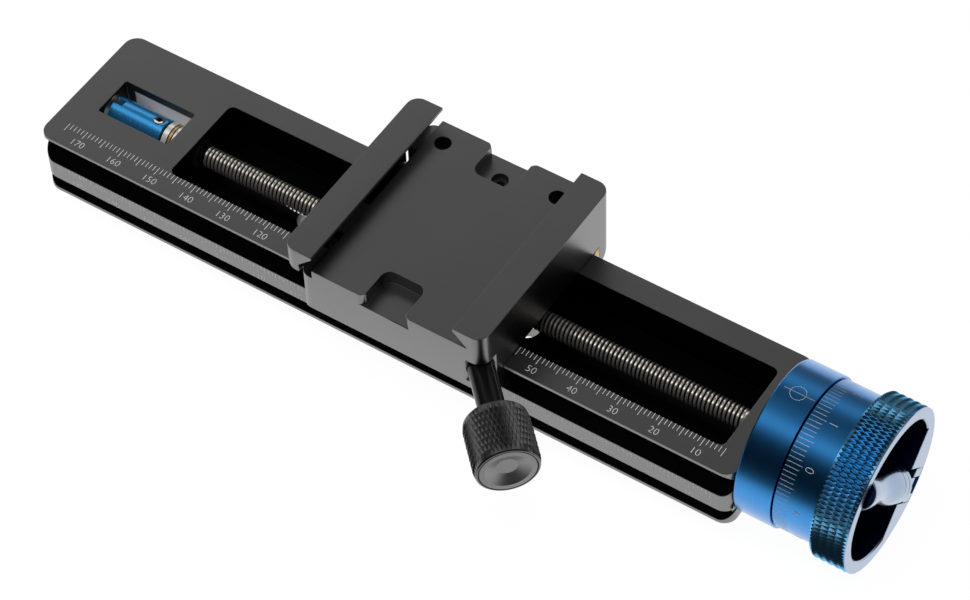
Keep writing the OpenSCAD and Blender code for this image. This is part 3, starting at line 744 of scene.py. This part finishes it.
def numeral(text: str, size: float, matrix: Matrix, thin: float) -> Piece:
    """A number as a flat mesh, centred on its place.

    Args:
        text: The digits.
        size: Height of the font in mm.
        matrix: Place of the middle of its baseline.
        thin: Change of the stroke as a share of the size.

    Returns:
        The mesh.
    """
    pick()
    bpy.ops.object.text_add()
    letters = bpy.context.active_object.data
    letters.body = text
    letters.size = size * MM
    letters.offset = thin * size * MM
    letters.resolution_u = 3
    letters.align_x = "CENTER"
    letters.align_y = "BOTTOM_BASELINE"
    bpy.ops.object.convert(target="MESH")
    return settle(bpy.context.active_object, matrix)


def coat(piece: Piece, paints: tuple[Paint, ...],
         choose: Callable[[bpy.types.MeshPolygon], int]) -> None:
    """Gives each face one of several finishes.

    Args:
        piece: The piece.
        paints: The finishes.
        choose: The place in paints of a face's finish.
    """
    for paint in paints:
        piece.data.materials.append(paint.material())
    for face in piece.data.polygons:
        face.material_index = int(choose(face))


def dress(piece: Piece, paint: Paint, body: Body, slot: str, *replaced: str) -> Piece:
    """Gives a piece its finish and its body, and hides the CAD nodes it stands for.

    Args:
        piece: The piece.
        paint: Its finish, unless it is coated already.
        body: The body it moves with.
        slot: The record's material slot; not used.
        *replaced: CAD nodes that it stands for.

    Returns:
        The piece.
    """
    if not piece.data.materials:
        piece.data.materials.append(paint.material())
    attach(piece, body.value)
    if replaced:
        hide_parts(*replaced)
    LOG.info("%s: %d faces on %s", piece.name, len(piece.data.polygons), body.value)
    return piece


def reclad(node: str, name: str, width: float, paint: Paint, body: Body, slot: str) -> Piece:
    """Replaces a CAD node by its eased copy, with the width of the rounding in mm."""
    return dress(eased_copy(node, name, width), paint, body, slot, node)


def repaint(paint: Paint, *nodes: str) -> None:
    """Gives CAD nodes a finish without touching their meshes.

    Args:
        paint: The finish.
        *nodes: The CAD nodes.
    """
    for node in nodes:
        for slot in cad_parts[node].material_slots:
            slot.material = paint.material()
        LOG.info("%s keeps its solid, in %s", node, paint.value.name)


# Rail


@dataclass
class RailLook:
    """The graduated dovetail rail with its two scales, in mm."""

    top_z: float = 17.4  # Height of the top face
    side_y: float = 17.8
    band_z: float = 9.35  # Upper edge of the middle band
    inner_y: float = -11.7  # Place where the top's ticks start
    minor: float = 1.5
    major: float = 2.3
    gap: float = 0.75  # Space between the long ticks and the numbers
    stroke: float = 0.13
    text: float = 2.5
    lift: float = 0.015  # Height of the marks over their face
    first: int = 5
    last: int = 175
    wall_top: float = 17.2  # Height up to which the walls of the openings get painted shade
    window: tuple[float, ...] = (-58, 84.6, 12.2, 7.4)  # Ends, half width and floor of the window
    pocket: tuple[float, ...] = (-82.5, -62.8, 5.6)  # Ends and half width of the drive pocket
    groove_area: float = 30.0  # Least area of the groove's faces in square mm
    cage_x: float = -64.9  # Middle of the brass cage
    # Half of the cage's profile, as (distance from its middle, radius)
    cage: Stops = ((0.58, 2.3), (0.58, 3.6), (0.3, 3.6), (0.28, 3.78))

    def build(self) -> None:
        """Builds the rail's shell, its marks and the brass cage."""
        shell = eased_copy("rail_body", "rail_shell", 0.15, weld=0.16)
        # Openings and groove get painted shade; the pocket's far wall gets a painted reflection
        coat(shell, (Paint.BLACK, Paint.MILLED, Paint.POCKET_WALL), self.finish_of)
        dress(shell, Paint.BLACK, Body.RAIL, "black_anodised", "rail_body")
        top = shifted(FACE_X, self.inner_y, self.top_z + self.lift)
        front = shifted(FACE_X, -self.side_y - self.lift, self.band_z) @ turned(90, "X")
        for name, place in (("top_scale", top), ("front_scale", front)):
            dress(self.scale(name, place), Paint.SCALE_FILL, Body.RAIL, "black_anodised")
        profile = [(self.cage_x - x, r) for x, r in self.cage]
        profile += [(self.cage_x + x, r) for x, r in reversed(self.cage)]
        cage = smooth(lathe("brass_cage", profile, 64, axial(), closed=True))
        # The groove and the ends get dark oxide as painted shade; the middle band stays brass
        coat(cage, (Paint.BRASS, Paint.OXIDE),
             lambda face: abs(face.center.x / MM - self.cage_x) > 0.29)
        dress(cage, Paint.BRASS, Body.RAIL, "brass", "thrust_cage")
        repaint(Paint.BEARING, "thrust_race_fixed", "thrust_balls", "bearing_outer_race",
                "bearing_balls")
        repaint(Paint.OXIDE, "rear_bushing", "ring_screws")

    def finish_of(self, face: bpy.types.MeshPolygon) -> int:
        """Finish of a face of the rail.

        Args:
            face: The face.

        Returns:
            0 for plain, 1 for the painted shade of the openings and the groove or 2 for the
            pocket's far wall with its painted reflection.
        """
        x, y, z = face.center / MM
        start, end, half = self.pocket
        in_pocket = start < x < end and abs(y) < half and z < self.wall_top
        # The pocket's far wall takes the painted reflection
        if in_pocket and face.normal.y < -0.9:
            return 2
        # Faces in the window, the pocket and the groove get painted shade
        start, end, half, floor_z = self.window
        in_window = start < x < end and abs(y) < half and floor_z < z < self.wall_top
        in_groove = (0.5 < abs(face.normal.z) < 0.9 and abs(y) < self.side_y
                     and face.area > self.groove_area * MM * MM)
        return int(in_pocket or in_window or in_groove)

    def scale(self, name: str, place: Matrix) -> Piece:
        """Builds one millimetre scale with its numbers.

        Args:
            name: Name of the piece.
            place: Frame at the dial end, with Y from the ticks' start towards the plate.

        Returns:
            The marks as one mesh.
        """
        count = self.last - self.first + 1
        ticks = strip("minor_ticks", self.stroke, -self.minor)
        longer = strip("major_ticks", self.stroke, self.minor - self.major)
        settle(longer, shifted(0, -self.minor, 0))
        for piece, number, step in ((ticks, count, 1), (longer, count // 5 + 1, 5)):
            apply(piece, "ARRAY", count=number, use_relative_offset=False,
                  use_constant_offset=True, constant_offset_displace=(-step * MM, 0, 0))
        marks = join([ticks, longer], name)
        settle(marks, place @ shifted(-self.first, 0, 0))
        base_y = -self.major - self.gap - self.text * 0.7
        numbers = [numeral(str(value), self.text, place @ shifted(-value, base_y, 0), -0.02)
                   for value in range(10, self.last, 10)]
        scale = join([marks, *numbers], name)
        edit(scale)
        bpy.ops.mesh.normals_make_consistent(inside=False)
        done()
        outward = place.to_3x3() @ Vector((0, 0, 1))
        if scale.data.polygons[0].normal.dot(outward) < 0:
            scale.data.flip_normals()
        return scale


# Leadscrew


@dataclass
class LeadscrewLook:
    """The leadscrew with its real helix, and what turns with it, in mm."""

    thread_x0: float = -56.4
    thread_x1: float = 83.8
    pitch: float = 1.0
    crest_r: float = 2.5
    root_r: float = 1.9
    facets: int = 28  # Facets in a turn
    # Steps of one tooth, as shares of the pitch and of the thread's depth
    tooth: Stops = ((0.07, 0.0), (0.2, 0.82), (0.08, 0.18), (0.3, 0.0), (0.08, -0.18),
                    (0.2, -0.82), (0.07, 0.0))
    # End and radius of the journal at the plain end, then of the neck before it
    neck: tuple[float, ...] = (-57.6, 2.0, -57.5, 1.6)
    # Ends and radius of the shoulder in the dial end's bearing
    shoulder: tuple[float, ...] = (84.8, 89.8, 4.0)
    # Radii of the seat under the dial and of its screw's hole, and the hole's depth
    nose: tuple[float, ...] = (3.0, 2.0, 8.0)

    def build(self) -> None:
        """Builds the screw and dresses the parts on it."""
        screw = self.threaded_screw()
        dress(screw, Paint.STEEL, Body.SCREW, "bright_steel", "leadscrew")
        repaint(Paint.BEARING, "bearing_inner_race", "thrust_race_turning")
        repaint(Paint.OXIDE, "lock_ring")
        grub = eased_copy("coupling_set_screw", "grub_screw", 0.05)
        rim_z = max(face.center.z for face in grub.data.polygons) - 0.12 * MM
        # Only the top rim is bright steel; the hex socket and sides get dark oxide as painted
        # shade
        coat(grub, (Paint.OXIDE, Paint.BEARING), lambda face: face.center.z > rim_z)
        dress(grub, Paint.BEARING, Body.SCREW, "bright_steel", "coupling_set_screw")
        reclad("drive_coupling", "coupling_sleeve", 0.18, Paint.COUPLING, Body.SCREW,
               "blue_anodised")

    def threaded_screw(self) -> Piece:
        """Sweeps the thread's profile along its helix and adds the plain journals.

        Returns:
            The screw.
        """
        turns = int((self.thread_x1 - self.thread_x0) / self.pitch) - 1
        merge = 0.000003
        pick()
        bpy.ops.mesh.primitive_plane_add(size=MM)
        thread = bpy.context.active_object
        thread.name = "leadscrew_thread"
        edit(thread)
        bpy.ops.mesh.merge(type="CENTER")
        bpy.ops.transform.translate(value=(0, self.root_r * MM, 0))
        for dx, dr in self.tooth:
            step = (dx * self.pitch * MM, dr * (self.crest_r - self.root_r) * MM, 0)
            bpy.ops.mesh.extrude_vertices_move(TRANSFORM_OT_translate={"value": step})
        done()
        apply(thread, "SCREW", axis="X", screw_offset=self.pitch * MM, iterations=turns,
              steps=self.facets, render_steps=self.facets, angle=2 * math.pi,
              use_merge_vertices=True, merge_threshold=merge)
        edit(thread)
        bpy.ops.mesh.remove_doubles(threshold=merge)
        bpy.ops.mesh.fill_holes(sides=0)
        bpy.ops.mesh.select_all(action="SELECT")
        bpy.ops.mesh.normals_make_consistent(inside=False)
        done()
        settle(thread, shifted(self.thread_x0, 0, AXIS_Z))
        smooth(thread, 24)
        low, high = (corner.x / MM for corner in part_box("leadscrew"))
        start = self.thread_x0
        end = start + turns * self.pitch
        rear_end, rear_r, neck_x, neck_r = self.neck
        step_x, face_x, step_r = self.shoulder
        seat_r, hole_r, hole_depth = self.nose
        rear = lathe("rear_journal", [
            (low, 0), (low, rear_r - 0.2), (low + 0.2, rear_r), (rear_end, rear_r),
            (neck_x, neck_r), (start - 0.1, neck_r), (start + 0.3, self.root_r),
            (start + 0.3, 0)], 48, axial())
        front = lathe("front_journal", [
            (end - 0.3, 0), (end - 0.3, 2.2), (end + 0.6, self.crest_r), (step_x, self.crest_r),
            (step_x, step_r), (face_x, step_r), (face_x, seat_r), (high, seat_r), (high, hole_r),
            (high - hole_depth, hole_r), (high - hole_depth, 0)], 64, axial())
        return join([thread, smooth(rear), smooth(front)], "leadscrew_turned")


# Dial


@dataclass
class DialLook:
    """Fixed index ring and the knurled, graduated dial.

    Sizes are in mm and degrees. Places along the axis start at the ring's rail face.
    """

    ring_r: float = 17.4
    index: tuple[float, float] = (8.5, 8.2)  # Dial end and length of the index line
    # Place, inner and outer radius of the line's round target
    target: tuple[float, ...] = (4.62, 1.7, 1.8)
    # Radii of the bore, of the screw's counterbore and of the hub's face
    bore: tuple[float, ...] = (3.0, 4.1, 13.0)
    bore_x: tuple[float, float] = (5.0, 13.0)  # Start of the bore and of the hub's face
    band_r: float = 16.9
    band_x0: float = 9.0
    knurl_r: float = 19.0
    knurl_depth: float = 0.55
    knurl_x0: float = 18.6
    end_x: float = 27.15
    hollow_x0: float = 19.05
    hollow_r: float = 16.05
    rim_r: float = 16.35  # Radius of the hollow at its mouth
    diamonds: int = 110
    rows: int = 5
    first_row: float = 19.25  # Place of the first row's points
    row_pitch: float = 1.705
    zero_angle: float = 44.6  # Angle of the 0 at rest
    stroke: float = 0.1
    text: float = 2.95
    lift: float = 0.015  # Height of the marks over their face
    # Dial ends and lengths of the ticks and of what the fifths add
    ticks: tuple[float, ...] = (12.3, 3.1, 12.75, 0.45)
    text_x: float = 14.4  # Middle of the digits
    # Depth, inner place and half width of the crank's seat
    seat: tuple[float, ...] = (6.65, 13.85, 4.0)
    seat_r: float = 18.35  # Radius that ends the seat
    seat_angle: float = -45.0
    chord: float = 10.0  # Distance of the hollow's flat side from the axis
    chord_angle: float = -41.0

    def build(self) -> None:
        """Builds the ring, the dial and their marks."""
        ring = reclad("index_ring", "index_collar", 0.12, Paint.RING, Body.RAIL, "blue_anodised")
        dress(self.index_mark(ring), Paint.DIAL_FILL, Body.RAIL, "blue_anodised")
        dress(self.dial_body(), Paint.BAND, Body.SCREW, "blue_anodised", "dial")
        dress(self.graduation(), Paint.DIAL_FILL, Body.SCREW, "blue_anodised")
        repaint(Paint.BEARING, "dial_screw")

    def on_round(self, x: float, degrees: float, radius: float) -> Matrix:
        """Frame on a round surface, read with the ring to the top.

        Args:
            x: Place along the axis.
            degrees: Angle from the front, upwards.
            radius: Radius of the surface.

        Returns:
            Frame with X along the reading direction, Y towards the ring and Z outwards.
        """
        c, s = math.cos(math.radians(degrees)), math.sin(math.radians(degrees))
        turn = Matrix(((0, -1, 0), (s, 0, -c), (c, 0, s))).to_4x4()
        return shifted(FACE_X + x, -radius * c, AXIS_Z + radius * s) @ turn

    def index_mark(self, ring: Piece) -> Piece:
        """Index line with its round target, laid on the ring.

        Args:
            ring: The ring that it lies on.

        Returns:
            The mark.
        """
        end, length = self.index
        middle, inner, outer = self.target
        above = self.ring_r + 0.3
        line = strip("index_line", self.stroke, length)
        edit(line)
        bpy.ops.mesh.subdivide(number_cuts=3)
        done()
        settle(line, self.on_round(end, 90, above))
        target = lathe("index_target", [(0, inner), (0, outer)], 64,
                       self.on_round(middle, 90, above))
        return apply(
            join([line, target], "index_mark"), "SHRINKWRAP", target=ring,
            wrap_method="PROJECT", use_project_z=True, use_negative_direction=True,
            use_positive_direction=False, offset=self.lift * MM)

    def dial_body(self) -> Piece:
        """Turns the dial ring by ring, raises the knurl and cuts the crank's seat.

        Returns:
            The dial.
        """
        pit_r = self.knurl_r - self.knurl_depth
        pitch = self.row_pitch
        points = [self.first_row + i * pitch for i in range(self.rows)]
        bore_r, head_r, hub_r = self.bore
        bore_x, hub_x = self.bore_x
        end, hollow_x = self.end_x, self.hollow_x0
        profile = [
            (bore_x, bore_r), (bore_x, head_r), (hub_x, head_r), (hub_x, hub_r),
            (self.band_x0, hub_r), (self.band_x0, self.band_r - 0.12),
            (self.band_x0 + 0.12, self.band_r), (self.knurl_x0, self.band_r),
            (self.knurl_x0, pit_r), (points[0] - pitch * 0.36, pit_r),
            *((x, pit_r) for x in points), (points[-1] + pitch * 0.5, pit_r),
            (end - 0.2, self.knurl_r - 0.12), (end - 0.08, self.knurl_r - 0.1),
            (end, self.knurl_r - 0.18), (end, self.rim_r), (end - 0.3, self.hollow_r),
            (hollow_x + 0.5, self.hollow_r), (hollow_x, self.hollow_r - 0.5), (hollow_x, bore_r)]
        dial = lathe("dial_turned", profile, 2 * self.diamonds, closed=True)
        knurl(dial, points, pit_r, self.knurl_r, self.diamonds)
        settle(dial, axial(FACE_X))
        cut(dial, self.seat_cutter())
        dial = smooth(join([dial, self.web()], "dial_turned"), 14)
        coat(dial, (Paint.BAND, Paint.CUT_RIM, Paint.HOLLOW, Paint.BLUE_KNURL), self.finish_of)
        return dial

    def finish_of(self, face: bpy.types.MeshPolygon) -> int:
        """Finish of a face of the dial.

        Args:
            face: The face.

        Returns:
            0 for the band, 1 for the cut rim, 2 for the hollow with its painted shade or 3 for
            the knurl with its painted highlight.
        """
        radius = math.hypot(face.center.y, face.center.z - AXIS_Z * MM) / MM
        x = face.center.x / MM - FACE_X
        at_mouth = x > self.end_x - 0.35 and radius > self.hollow_r - 0.05
        if (at_mouth or x > self.end_x - 0.12) and radius < self.knurl_r - 0.1:
            return 1
        # The inside of the hollow gets painted shade
        if x > self.hollow_x0 - 0.1 and radius < self.knurl_r - self.knurl_depth - 0.1:
            return 2
        # The knurl takes the paler blue of its painted highlight
        return 3 if x > self.knurl_x0 - 0.1 else 0

    def block(self, name: str, low: Point, high: Point, angle: float) -> Piece:
        """Block in the dial's frame, turned round its axis.

        Args:
            name: Name of the block.
            low: Lower corner: along the axis, outwards, across.
            high: Upper corner.
            angle: Angle of the outward direction from +Y.

        Returns:
            The block.
        """
        pick()
        bpy.ops.mesh.primitive_cube_add(size=MM)
        block = bpy.context.active_object
        block.name = name
        edit(block)
        bpy.ops.transform.resize(value=tuple(b - a for a, b in zip(low, high)))
        done()
        middle = shifted(*(0.5 * (a + b) for a, b in zip(low, high)))
        return settle(block, shifted(FACE_X, 0, AXIS_Z) @ turned(angle, "X") @ middle)

    def web(self) -> Piece:
        """Thick side of the hollow, flat towards the handle and slotted for the crank.

        Returns:
            The web.
        """
        end, radius = self.end_x + 0.004, self.rim_r + 0.1
        slot = self.seat[2] + 0.1
        web = lathe("hollow_web", [(self.hollow_x0, 0), (self.hollow_x0, radius),
                                   (end, radius), (end, 0)], 160, axial(FACE_X))
        for low, high, angle in (((10, -20, -20), (30, self.chord, 20), self.chord_angle),
                                 ((10, 0, -slot), (30, 20, slot), self.seat_angle)):
            cut(web, self.block("web_cutter", low, high, angle))
        return apply(web, "BEVEL", width=0.1 * MM, segments=1, limit_method="ANGLE",
                     loop_slide=False, angle_limit=math.radians(60),
                     use_clamp_overlap=False)

    def seat_cutter(self) -> Piece:
        """Block with a round outer face, the shape of the crank's seat.

        Returns:
            The cutter, in the dial's place.
        """
        depth, inner, side = self.seat
        cutter = self.block("seat_cutter", (self.end_x - depth, inner, -side),
                            (self.end_x + 1, self.knurl_r, side), self.seat_angle)
        rod = lathe("seat_rod", [(0, 0), (0, self.seat_r), (40, self.seat_r), (40, 0)], 192,
                    axial(FACE_X))
        cut(cutter, rod, "INTERSECT")
        return cutter

    def graduation(self) -> Piece:
        """Ticks and digits round the band.

        Returns:
            The marks.
        """
        radius = self.band_r + self.lift
        tick_x, tick, fifth_x, fifth = self.ticks
        marks = []
        for name, x, length, count in (("dial_ticks", tick_x, tick, 100),
                                       ("dial_fifths", fifth_x, fifth, 20)):
            piece = strip(name, self.stroke, length)
            settle(piece, self.on_round(x, self.zero_angle, radius))
            edit(piece)
            bpy.ops.mesh.spin(steps=count, dupli=True, angle=2 * math.pi,
                              center=mm(FACE_X, 0, AXIS_Z), axis=(1, 0, 0))
            bpy.ops.mesh.select_all(action="SELECT")
            bpy.ops.mesh.remove_doubles(threshold=0.000005)
            done()
            marks.append(piece)
        for value in range(10):
            spot = self.on_round(self.text_x + self.text * 0.35, self.zero_angle + 36 * value,
                                 radius + 0.02)
            marks.append(numeral(str(value), self.text, spot, -0.022))
        return join(marks, "dial_marks")


# Crank


@dataclass
class CrankLook:
    """Folding crank in the dial's hollow, in mm and degrees."""

    angle: float = -45.0  # Angle of the hinge round the dial
    hinge_x: float = 24.95
    # Free and shoulder ends of the handle, from the axis towards the hinge
    handle_y: tuple[float, float] = (-15.0, 6.18)
    handle_r: float = 4.25
    flare_r: float = 3.75
    waist_r: float = 3.2
    bore: tuple[float, float] = (2.2, 3.3)  # Depth and radius of the bore in the free end
    axle_r: float = 1.15
    collar: float = 2.6  # Length of the shoulder
    steps: int = 24

    def build(self) -> None:
        """Builds the hinge's parts and the handle."""
        slot = "pale_blue_anodised"
        reclad("crank_yoke", "hinge_yoke", 0.12, Paint.CUT_RIM, Body.SCREW, slot)
        reclad("crank_arm", "folding_arm", 0.15, Paint.CUT_RIM, Body.CRANK, slot)
        dress(self.handle(), Paint.CUT_RIM, Body.HANDLE, slot, "crank_handle")
        repaint(Paint.BEARING, "crank_pin")
        # The axle in the handle's bore gets painted shade
        repaint(Paint.HOLLOW, "handle_axle")

    def handle(self) -> Piece:
        """Turns the waisted handle.

        Returns:
            The handle.
        """
        free_y, shoulder_y = self.handle_y
        depth, bore_r = self.bore
        length = shoulder_y - free_y
        waist = length - self.collar - 0.25
        profile = [(depth, bore_r), (0.1, bore_r), (0.0, bore_r + 0.1), (0.0, self.flare_r - 0.2),
                   (0.08, self.flare_r - 0.06)]
        for i in range(self.steps + 1):
            t = i / self.steps
            edge = self.flare_r + (self.handle_r - self.flare_r) * t
            dip = (edge - self.waist_r) * math.sin(math.pi * t) ** 2
            profile.append((0.25 + waist * t, edge - dip))
        profile += [(length - 2.45, self.handle_r - 0.12), (length - 2.3, self.handle_r),
                    (length - 0.15, self.handle_r), (length, self.handle_r - 0.15),
                    (length, self.axle_r), (depth, self.axle_r)]
        handle = lathe("waisted_handle", profile, 96, closed=True)
        # The handle's bore gets painted shade
        coat(handle, (Paint.CUT_RIM, Paint.HOLLOW),
             lambda face: (face.center.xy.length < (bore_r + 0.02) * MM
                           and face.center.z < 3 * MM))
        settle(handle, shifted(FACE_X, 0, AXIS_Z) @ turned(self.angle, "X")
               @ shifted(self.hinge_x, free_y, 0) @ turned(-90, "X"))
        return smooth(handle, 30)


# Carriage


@dataclass
class CarriageLook:
    """Carriage with its jaws and what rides under it."""

    body_edge: float = 0.15
    jaw_edge: float = 0.25
    gib_edge: float = 0.12

    def build(self) -> None:
        """Builds the carriage's body, its gib and the moving jaw."""
        reclad("carriage_body", "carriage_shell", self.body_edge, Paint.BLACK,
               Body.CARRIAGE, "black_anodised")
        reclad("clamp_jaw", "jaw_shell", self.jaw_edge, Paint.BLACK, Body.JAW, "black_anodised")
        reclad("brass_gib", "gib_strip", self.gib_edge, Paint.BRASS, Body.CARRIAGE, "brass")
        repaint(Paint.BLACK, "nut_block", "jaw_drawbar")
        repaint(Paint.BRASS, "lead_nut")
        repaint(Paint.OXIDE, "nut_screws", "gib_screws", "jaw_springs", "drawbar_screws",
                "guide_pins")
        repaint(Paint.BEARING, "wedge_plunger")


# Clamp knob


@dataclass
class ClampKnobLook:
    """Clamp screw with its knurled knob, in mm."""

    flat: Point = (31.9, -22.7, 20.7)  # Place of the corner flat's centre
    out: float = 13.3  # Start of the knob from the flat
    length: float = 14.2
    radius: float = 7.25
    knurl_depth: float = 0.36
    diamonds: int = 48
    rows: int = 8
    neck_r: float = 4.5
    bore_r: float = 3.0
    cap_r: float = 6.35
    cap_depth: float = 2.4
    dish: tuple[float, float] = (1.22, 2.35)  # Depth of the cap's dish and radius of its floor

    def build(self) -> None:
        """Builds the knob and its cap."""
        dress(self.knob(), Paint.BLACK_KNURL, Body.KNOB, "black_anodised", "clamp_knob")
        dress(self.cap(), Paint.BLACK, Body.KNOB, "black_anodised", "knob_cap")
        repaint(Paint.SPINDLE, "clamp_spindle")

    def place(self) -> Matrix:
        """Frame whose Z runs outwards along the clamp screw."""
        return shifted(*self.flat) @ turned(-45, "Z") @ turned(90, "Y")

    def knob(self) -> Piece:
        """Turns the knob and raises its knurl.

        Returns:
            The knob.
        """
        pit_r = self.radius - self.knurl_depth
        out, top = self.out, self.out + self.length
        start, end = out + 1.3, top - 0.3
        rings = [start + i * (end - start) / self.rows for i in range(self.rows + 1)]
        seat_r, seat_z = self.cap_r + 0.02, top - self.cap_depth
        profile = [(out, self.bore_r), (out, self.neck_r), (out + 0.8, self.neck_r),
                   (out + 0.8, pit_r - 0.5), *((z, pit_r) for z in rings),
                   (top - 0.25, pit_r - 0.03), (top, pit_r - 0.29), (top, seat_r),
                   (seat_z, seat_r), (seat_z, self.bore_r)]
        knob = lathe("knurled_knob", profile, 2 * self.diamonds, closed=True)
        knurl(knob, rings[1:-1], pit_r, self.radius, self.diamonds)
        return smooth(settle(knob, self.place()), 14)

    def cap(self) -> Piece:
        """Turns the dished cap in the knob's face.

        Returns:
            The cap.
        """
        top, r = self.out + self.length, self.cap_r
        bottom = top - self.cap_depth
        depth, floor_r = self.dish
        cap = lathe("dished_cap", [
            (bottom, 0), (bottom, r - 0.16), (top - 0.1, r - 0.16), (top, r - 0.24),
            (top, r - 1.4), (top - 0.04, r - 1.48), (top - depth + 0.04, floor_r + 0.1),
            (top - depth, floor_r), (top - depth, 0)], 96, self.place())
        return smooth(cap, 18)


# Studio


@dataclass
class Studio:
    """Pale floor, soft lamps and the camera at the photograph's angle, in mm."""

    floor_z: float = -6.75
    camera: Point = (277.09, -368.42, 567.66)
    right: Point = (0.836626, 0.547076, -0.027657)
    up: Point = (-0.411438, 0.660928, 0.627609)
    lens: float = 123.19
    sensor: float = 36.0
    # Name, place, aim, side and watts of each lamp
    lamps: tuple[tuple[str, Point, Point, float, float], ...] = (
        ("key_overhead", (60, -120, 620), (20, 0, 0), 420, 2.7),
        ("fill_left", (-560, -260, 420), (-20, 0, 0), 360, 1.8))
    # Heights and greys of the sky in front
    front_sky: Stops = (
        (0.0, 0.02), (0.5, 0.02), (0.72, 0.05), (0.83, 0.4), (0.87, 1.15), (0.93, 1.15),
        (0.97, 0.18), (1.0, 0.08))
    # Heights and greys of the sky behind
    back_sky: Stops = (
        (0.0, 0.03), (0.15, 0.08), (0.35, 0.25), (0.48, 0.35), (0.57, 0.75), (0.66, 0.75),
        (0.74, 0.2), (0.8, 0.12), (0.95, 0.08), (1.0, 0.08))

    def build(self) -> None:
        """Sets the stage, the lamps, the world and the camera."""
        self.floor()
        for lamp in self.lamps:
            self.lamp(*lamp)
        self.world()
        self.view()

    def floor(self) -> None:
        """Lays the floor, which stays white to the camera and in reflections."""
        pick()
        bpy.ops.mesh.primitive_plane_add(size=6.0, location=(0, 0, self.floor_z * MM))
        floor = bpy.context.active_object
        floor.name = "studio_floor"
        settle(floor)
        sheet = NodeSheet("floor_paper")
        sheet.dress(Base_Color=(0.82, 0.82, 0.82), Roughness=0.9)
        camera, glossy, through = (
            sheet.add("ShaderNodeLightPath", {}, {}, f"Is {ray} Ray")
            for ray in ("Camera", "Glossy", "Transmission"))
        near = ((sheet.coordinate(Axis.Y) + 0.11) / 0.06).limited()
        mirrored = sheet.add("ShaderNodeEmission", {},
                             {"Color": sheet.blend(near, (0.06, 0.06, 0.06), (1, 1, 1))})
        white = sheet.add("ShaderNodeEmission", {}, {"Color": (1, 1, 1), "Strength": 1.03})
        lit = sheet.add("ShaderNodeMixShader", {}, {
            0: glossy, 1: Signal(sheet, sheet.shader.outputs[0]), 2: mirrored})
        mixed = sheet.add("ShaderNodeMixShader", {}, {
            0: (camera + through).limited() * 0.94, 1: lit, 2: white})
        sheet.tree.links.new(mixed.socket, sheet.output.inputs[0])
        floor.data.materials.append(sheet.material)

    def lamp(self, name: str, place: Point, aim: Point, size: float, power: float) -> None:
        """Hangs one square soft lamp.

        Args:
            name: Name of the lamp.
            place: Its place.
            aim: The point it looks at.
            size: Its side.
            power: Its power in watts.
        """
        data = bpy.data.lights.new(name, "AREA")
        data.size = size * MM
        data.energy = power
        lamp = bpy.data.objects.new(name, data)
        bpy.context.scene.collection.objects.link(lamp)
        lamp.location = mm(*place)
        lamp.visible_glossy = False
        lamp.rotation_euler = (mm(*aim) - mm(*place)).to_track_quat("-Z", "Y").to_euler()

    def world(self) -> None:
        """Sets a sky that is white to the camera and softly lit high in front and behind."""
        world = bpy.data.worlds.new("studio_sky")
        bpy.context.scene.world = world
        world.use_nodes = True
        sky = NodeSheet.on(world.node_tree)
        place = sky.add("ShaderNodeTexCoord", {}, {}, "Generated")
        side, depth, height = (
            sky.add("ShaderNodeSeparateXYZ", {}, {0: place}, axis.value) for axis in Axis)
        front, back = (
            sky.add("ShaderNodeValToRGB", {"stops": [(h, (g, g, g)) for h, g in stops]},
                    {"Fac": height})
            for stops in (self.front_sky, self.back_sky))
        around = sky.blend((depth * 1.6 + 0.5).limited(), front, back)
        seen = sky.blend((side * 0.7 + 0.3).limited(), around, (0.03, 0.03, 0.035))
        to_camera = sky.add("ShaderNodeLightPath", {}, {}, "Is Camera Ray")
        sky.feed(world.node_tree.nodes["Background"].inputs["Color"],
                 sky.blend(to_camera, seen, (1, 1, 1)))

    def view(self) -> None:
        """Places the camera as the photograph's."""
        data = bpy.data.cameras.new("photo_camera")
        data.lens = self.lens
        data.sensor_width = self.sensor
        data.clip_start = 0.01
        camera = bpy.data.objects.new("photo_camera", data)
        bpy.context.scene.collection.objects.link(camera)
        right, up = Vector(self.right), Vector(self.up)
        turn = Matrix((right, up, right.cross(up))).transposed().to_4x4()
        camera.matrix_world = shifted(*self.camera) @ turn
        bpy.context.scene.camera = camera


def main() -> None:
    """Builds every sub-assembly in order and sets the stage."""
    logging.basicConfig(level=logging.INFO, format="%(name)s: %(message)s")
    bpy.context.scene.view_settings.view_transform = "Standard"
    for part in (RailLook(), LeadscrewLook(), DialLook(), CrankLook(), CarriageLook(),
                 ClampKnobLook(), Studio()):
        part.build()
    pick()


if __name__ == "__main__":
    main()
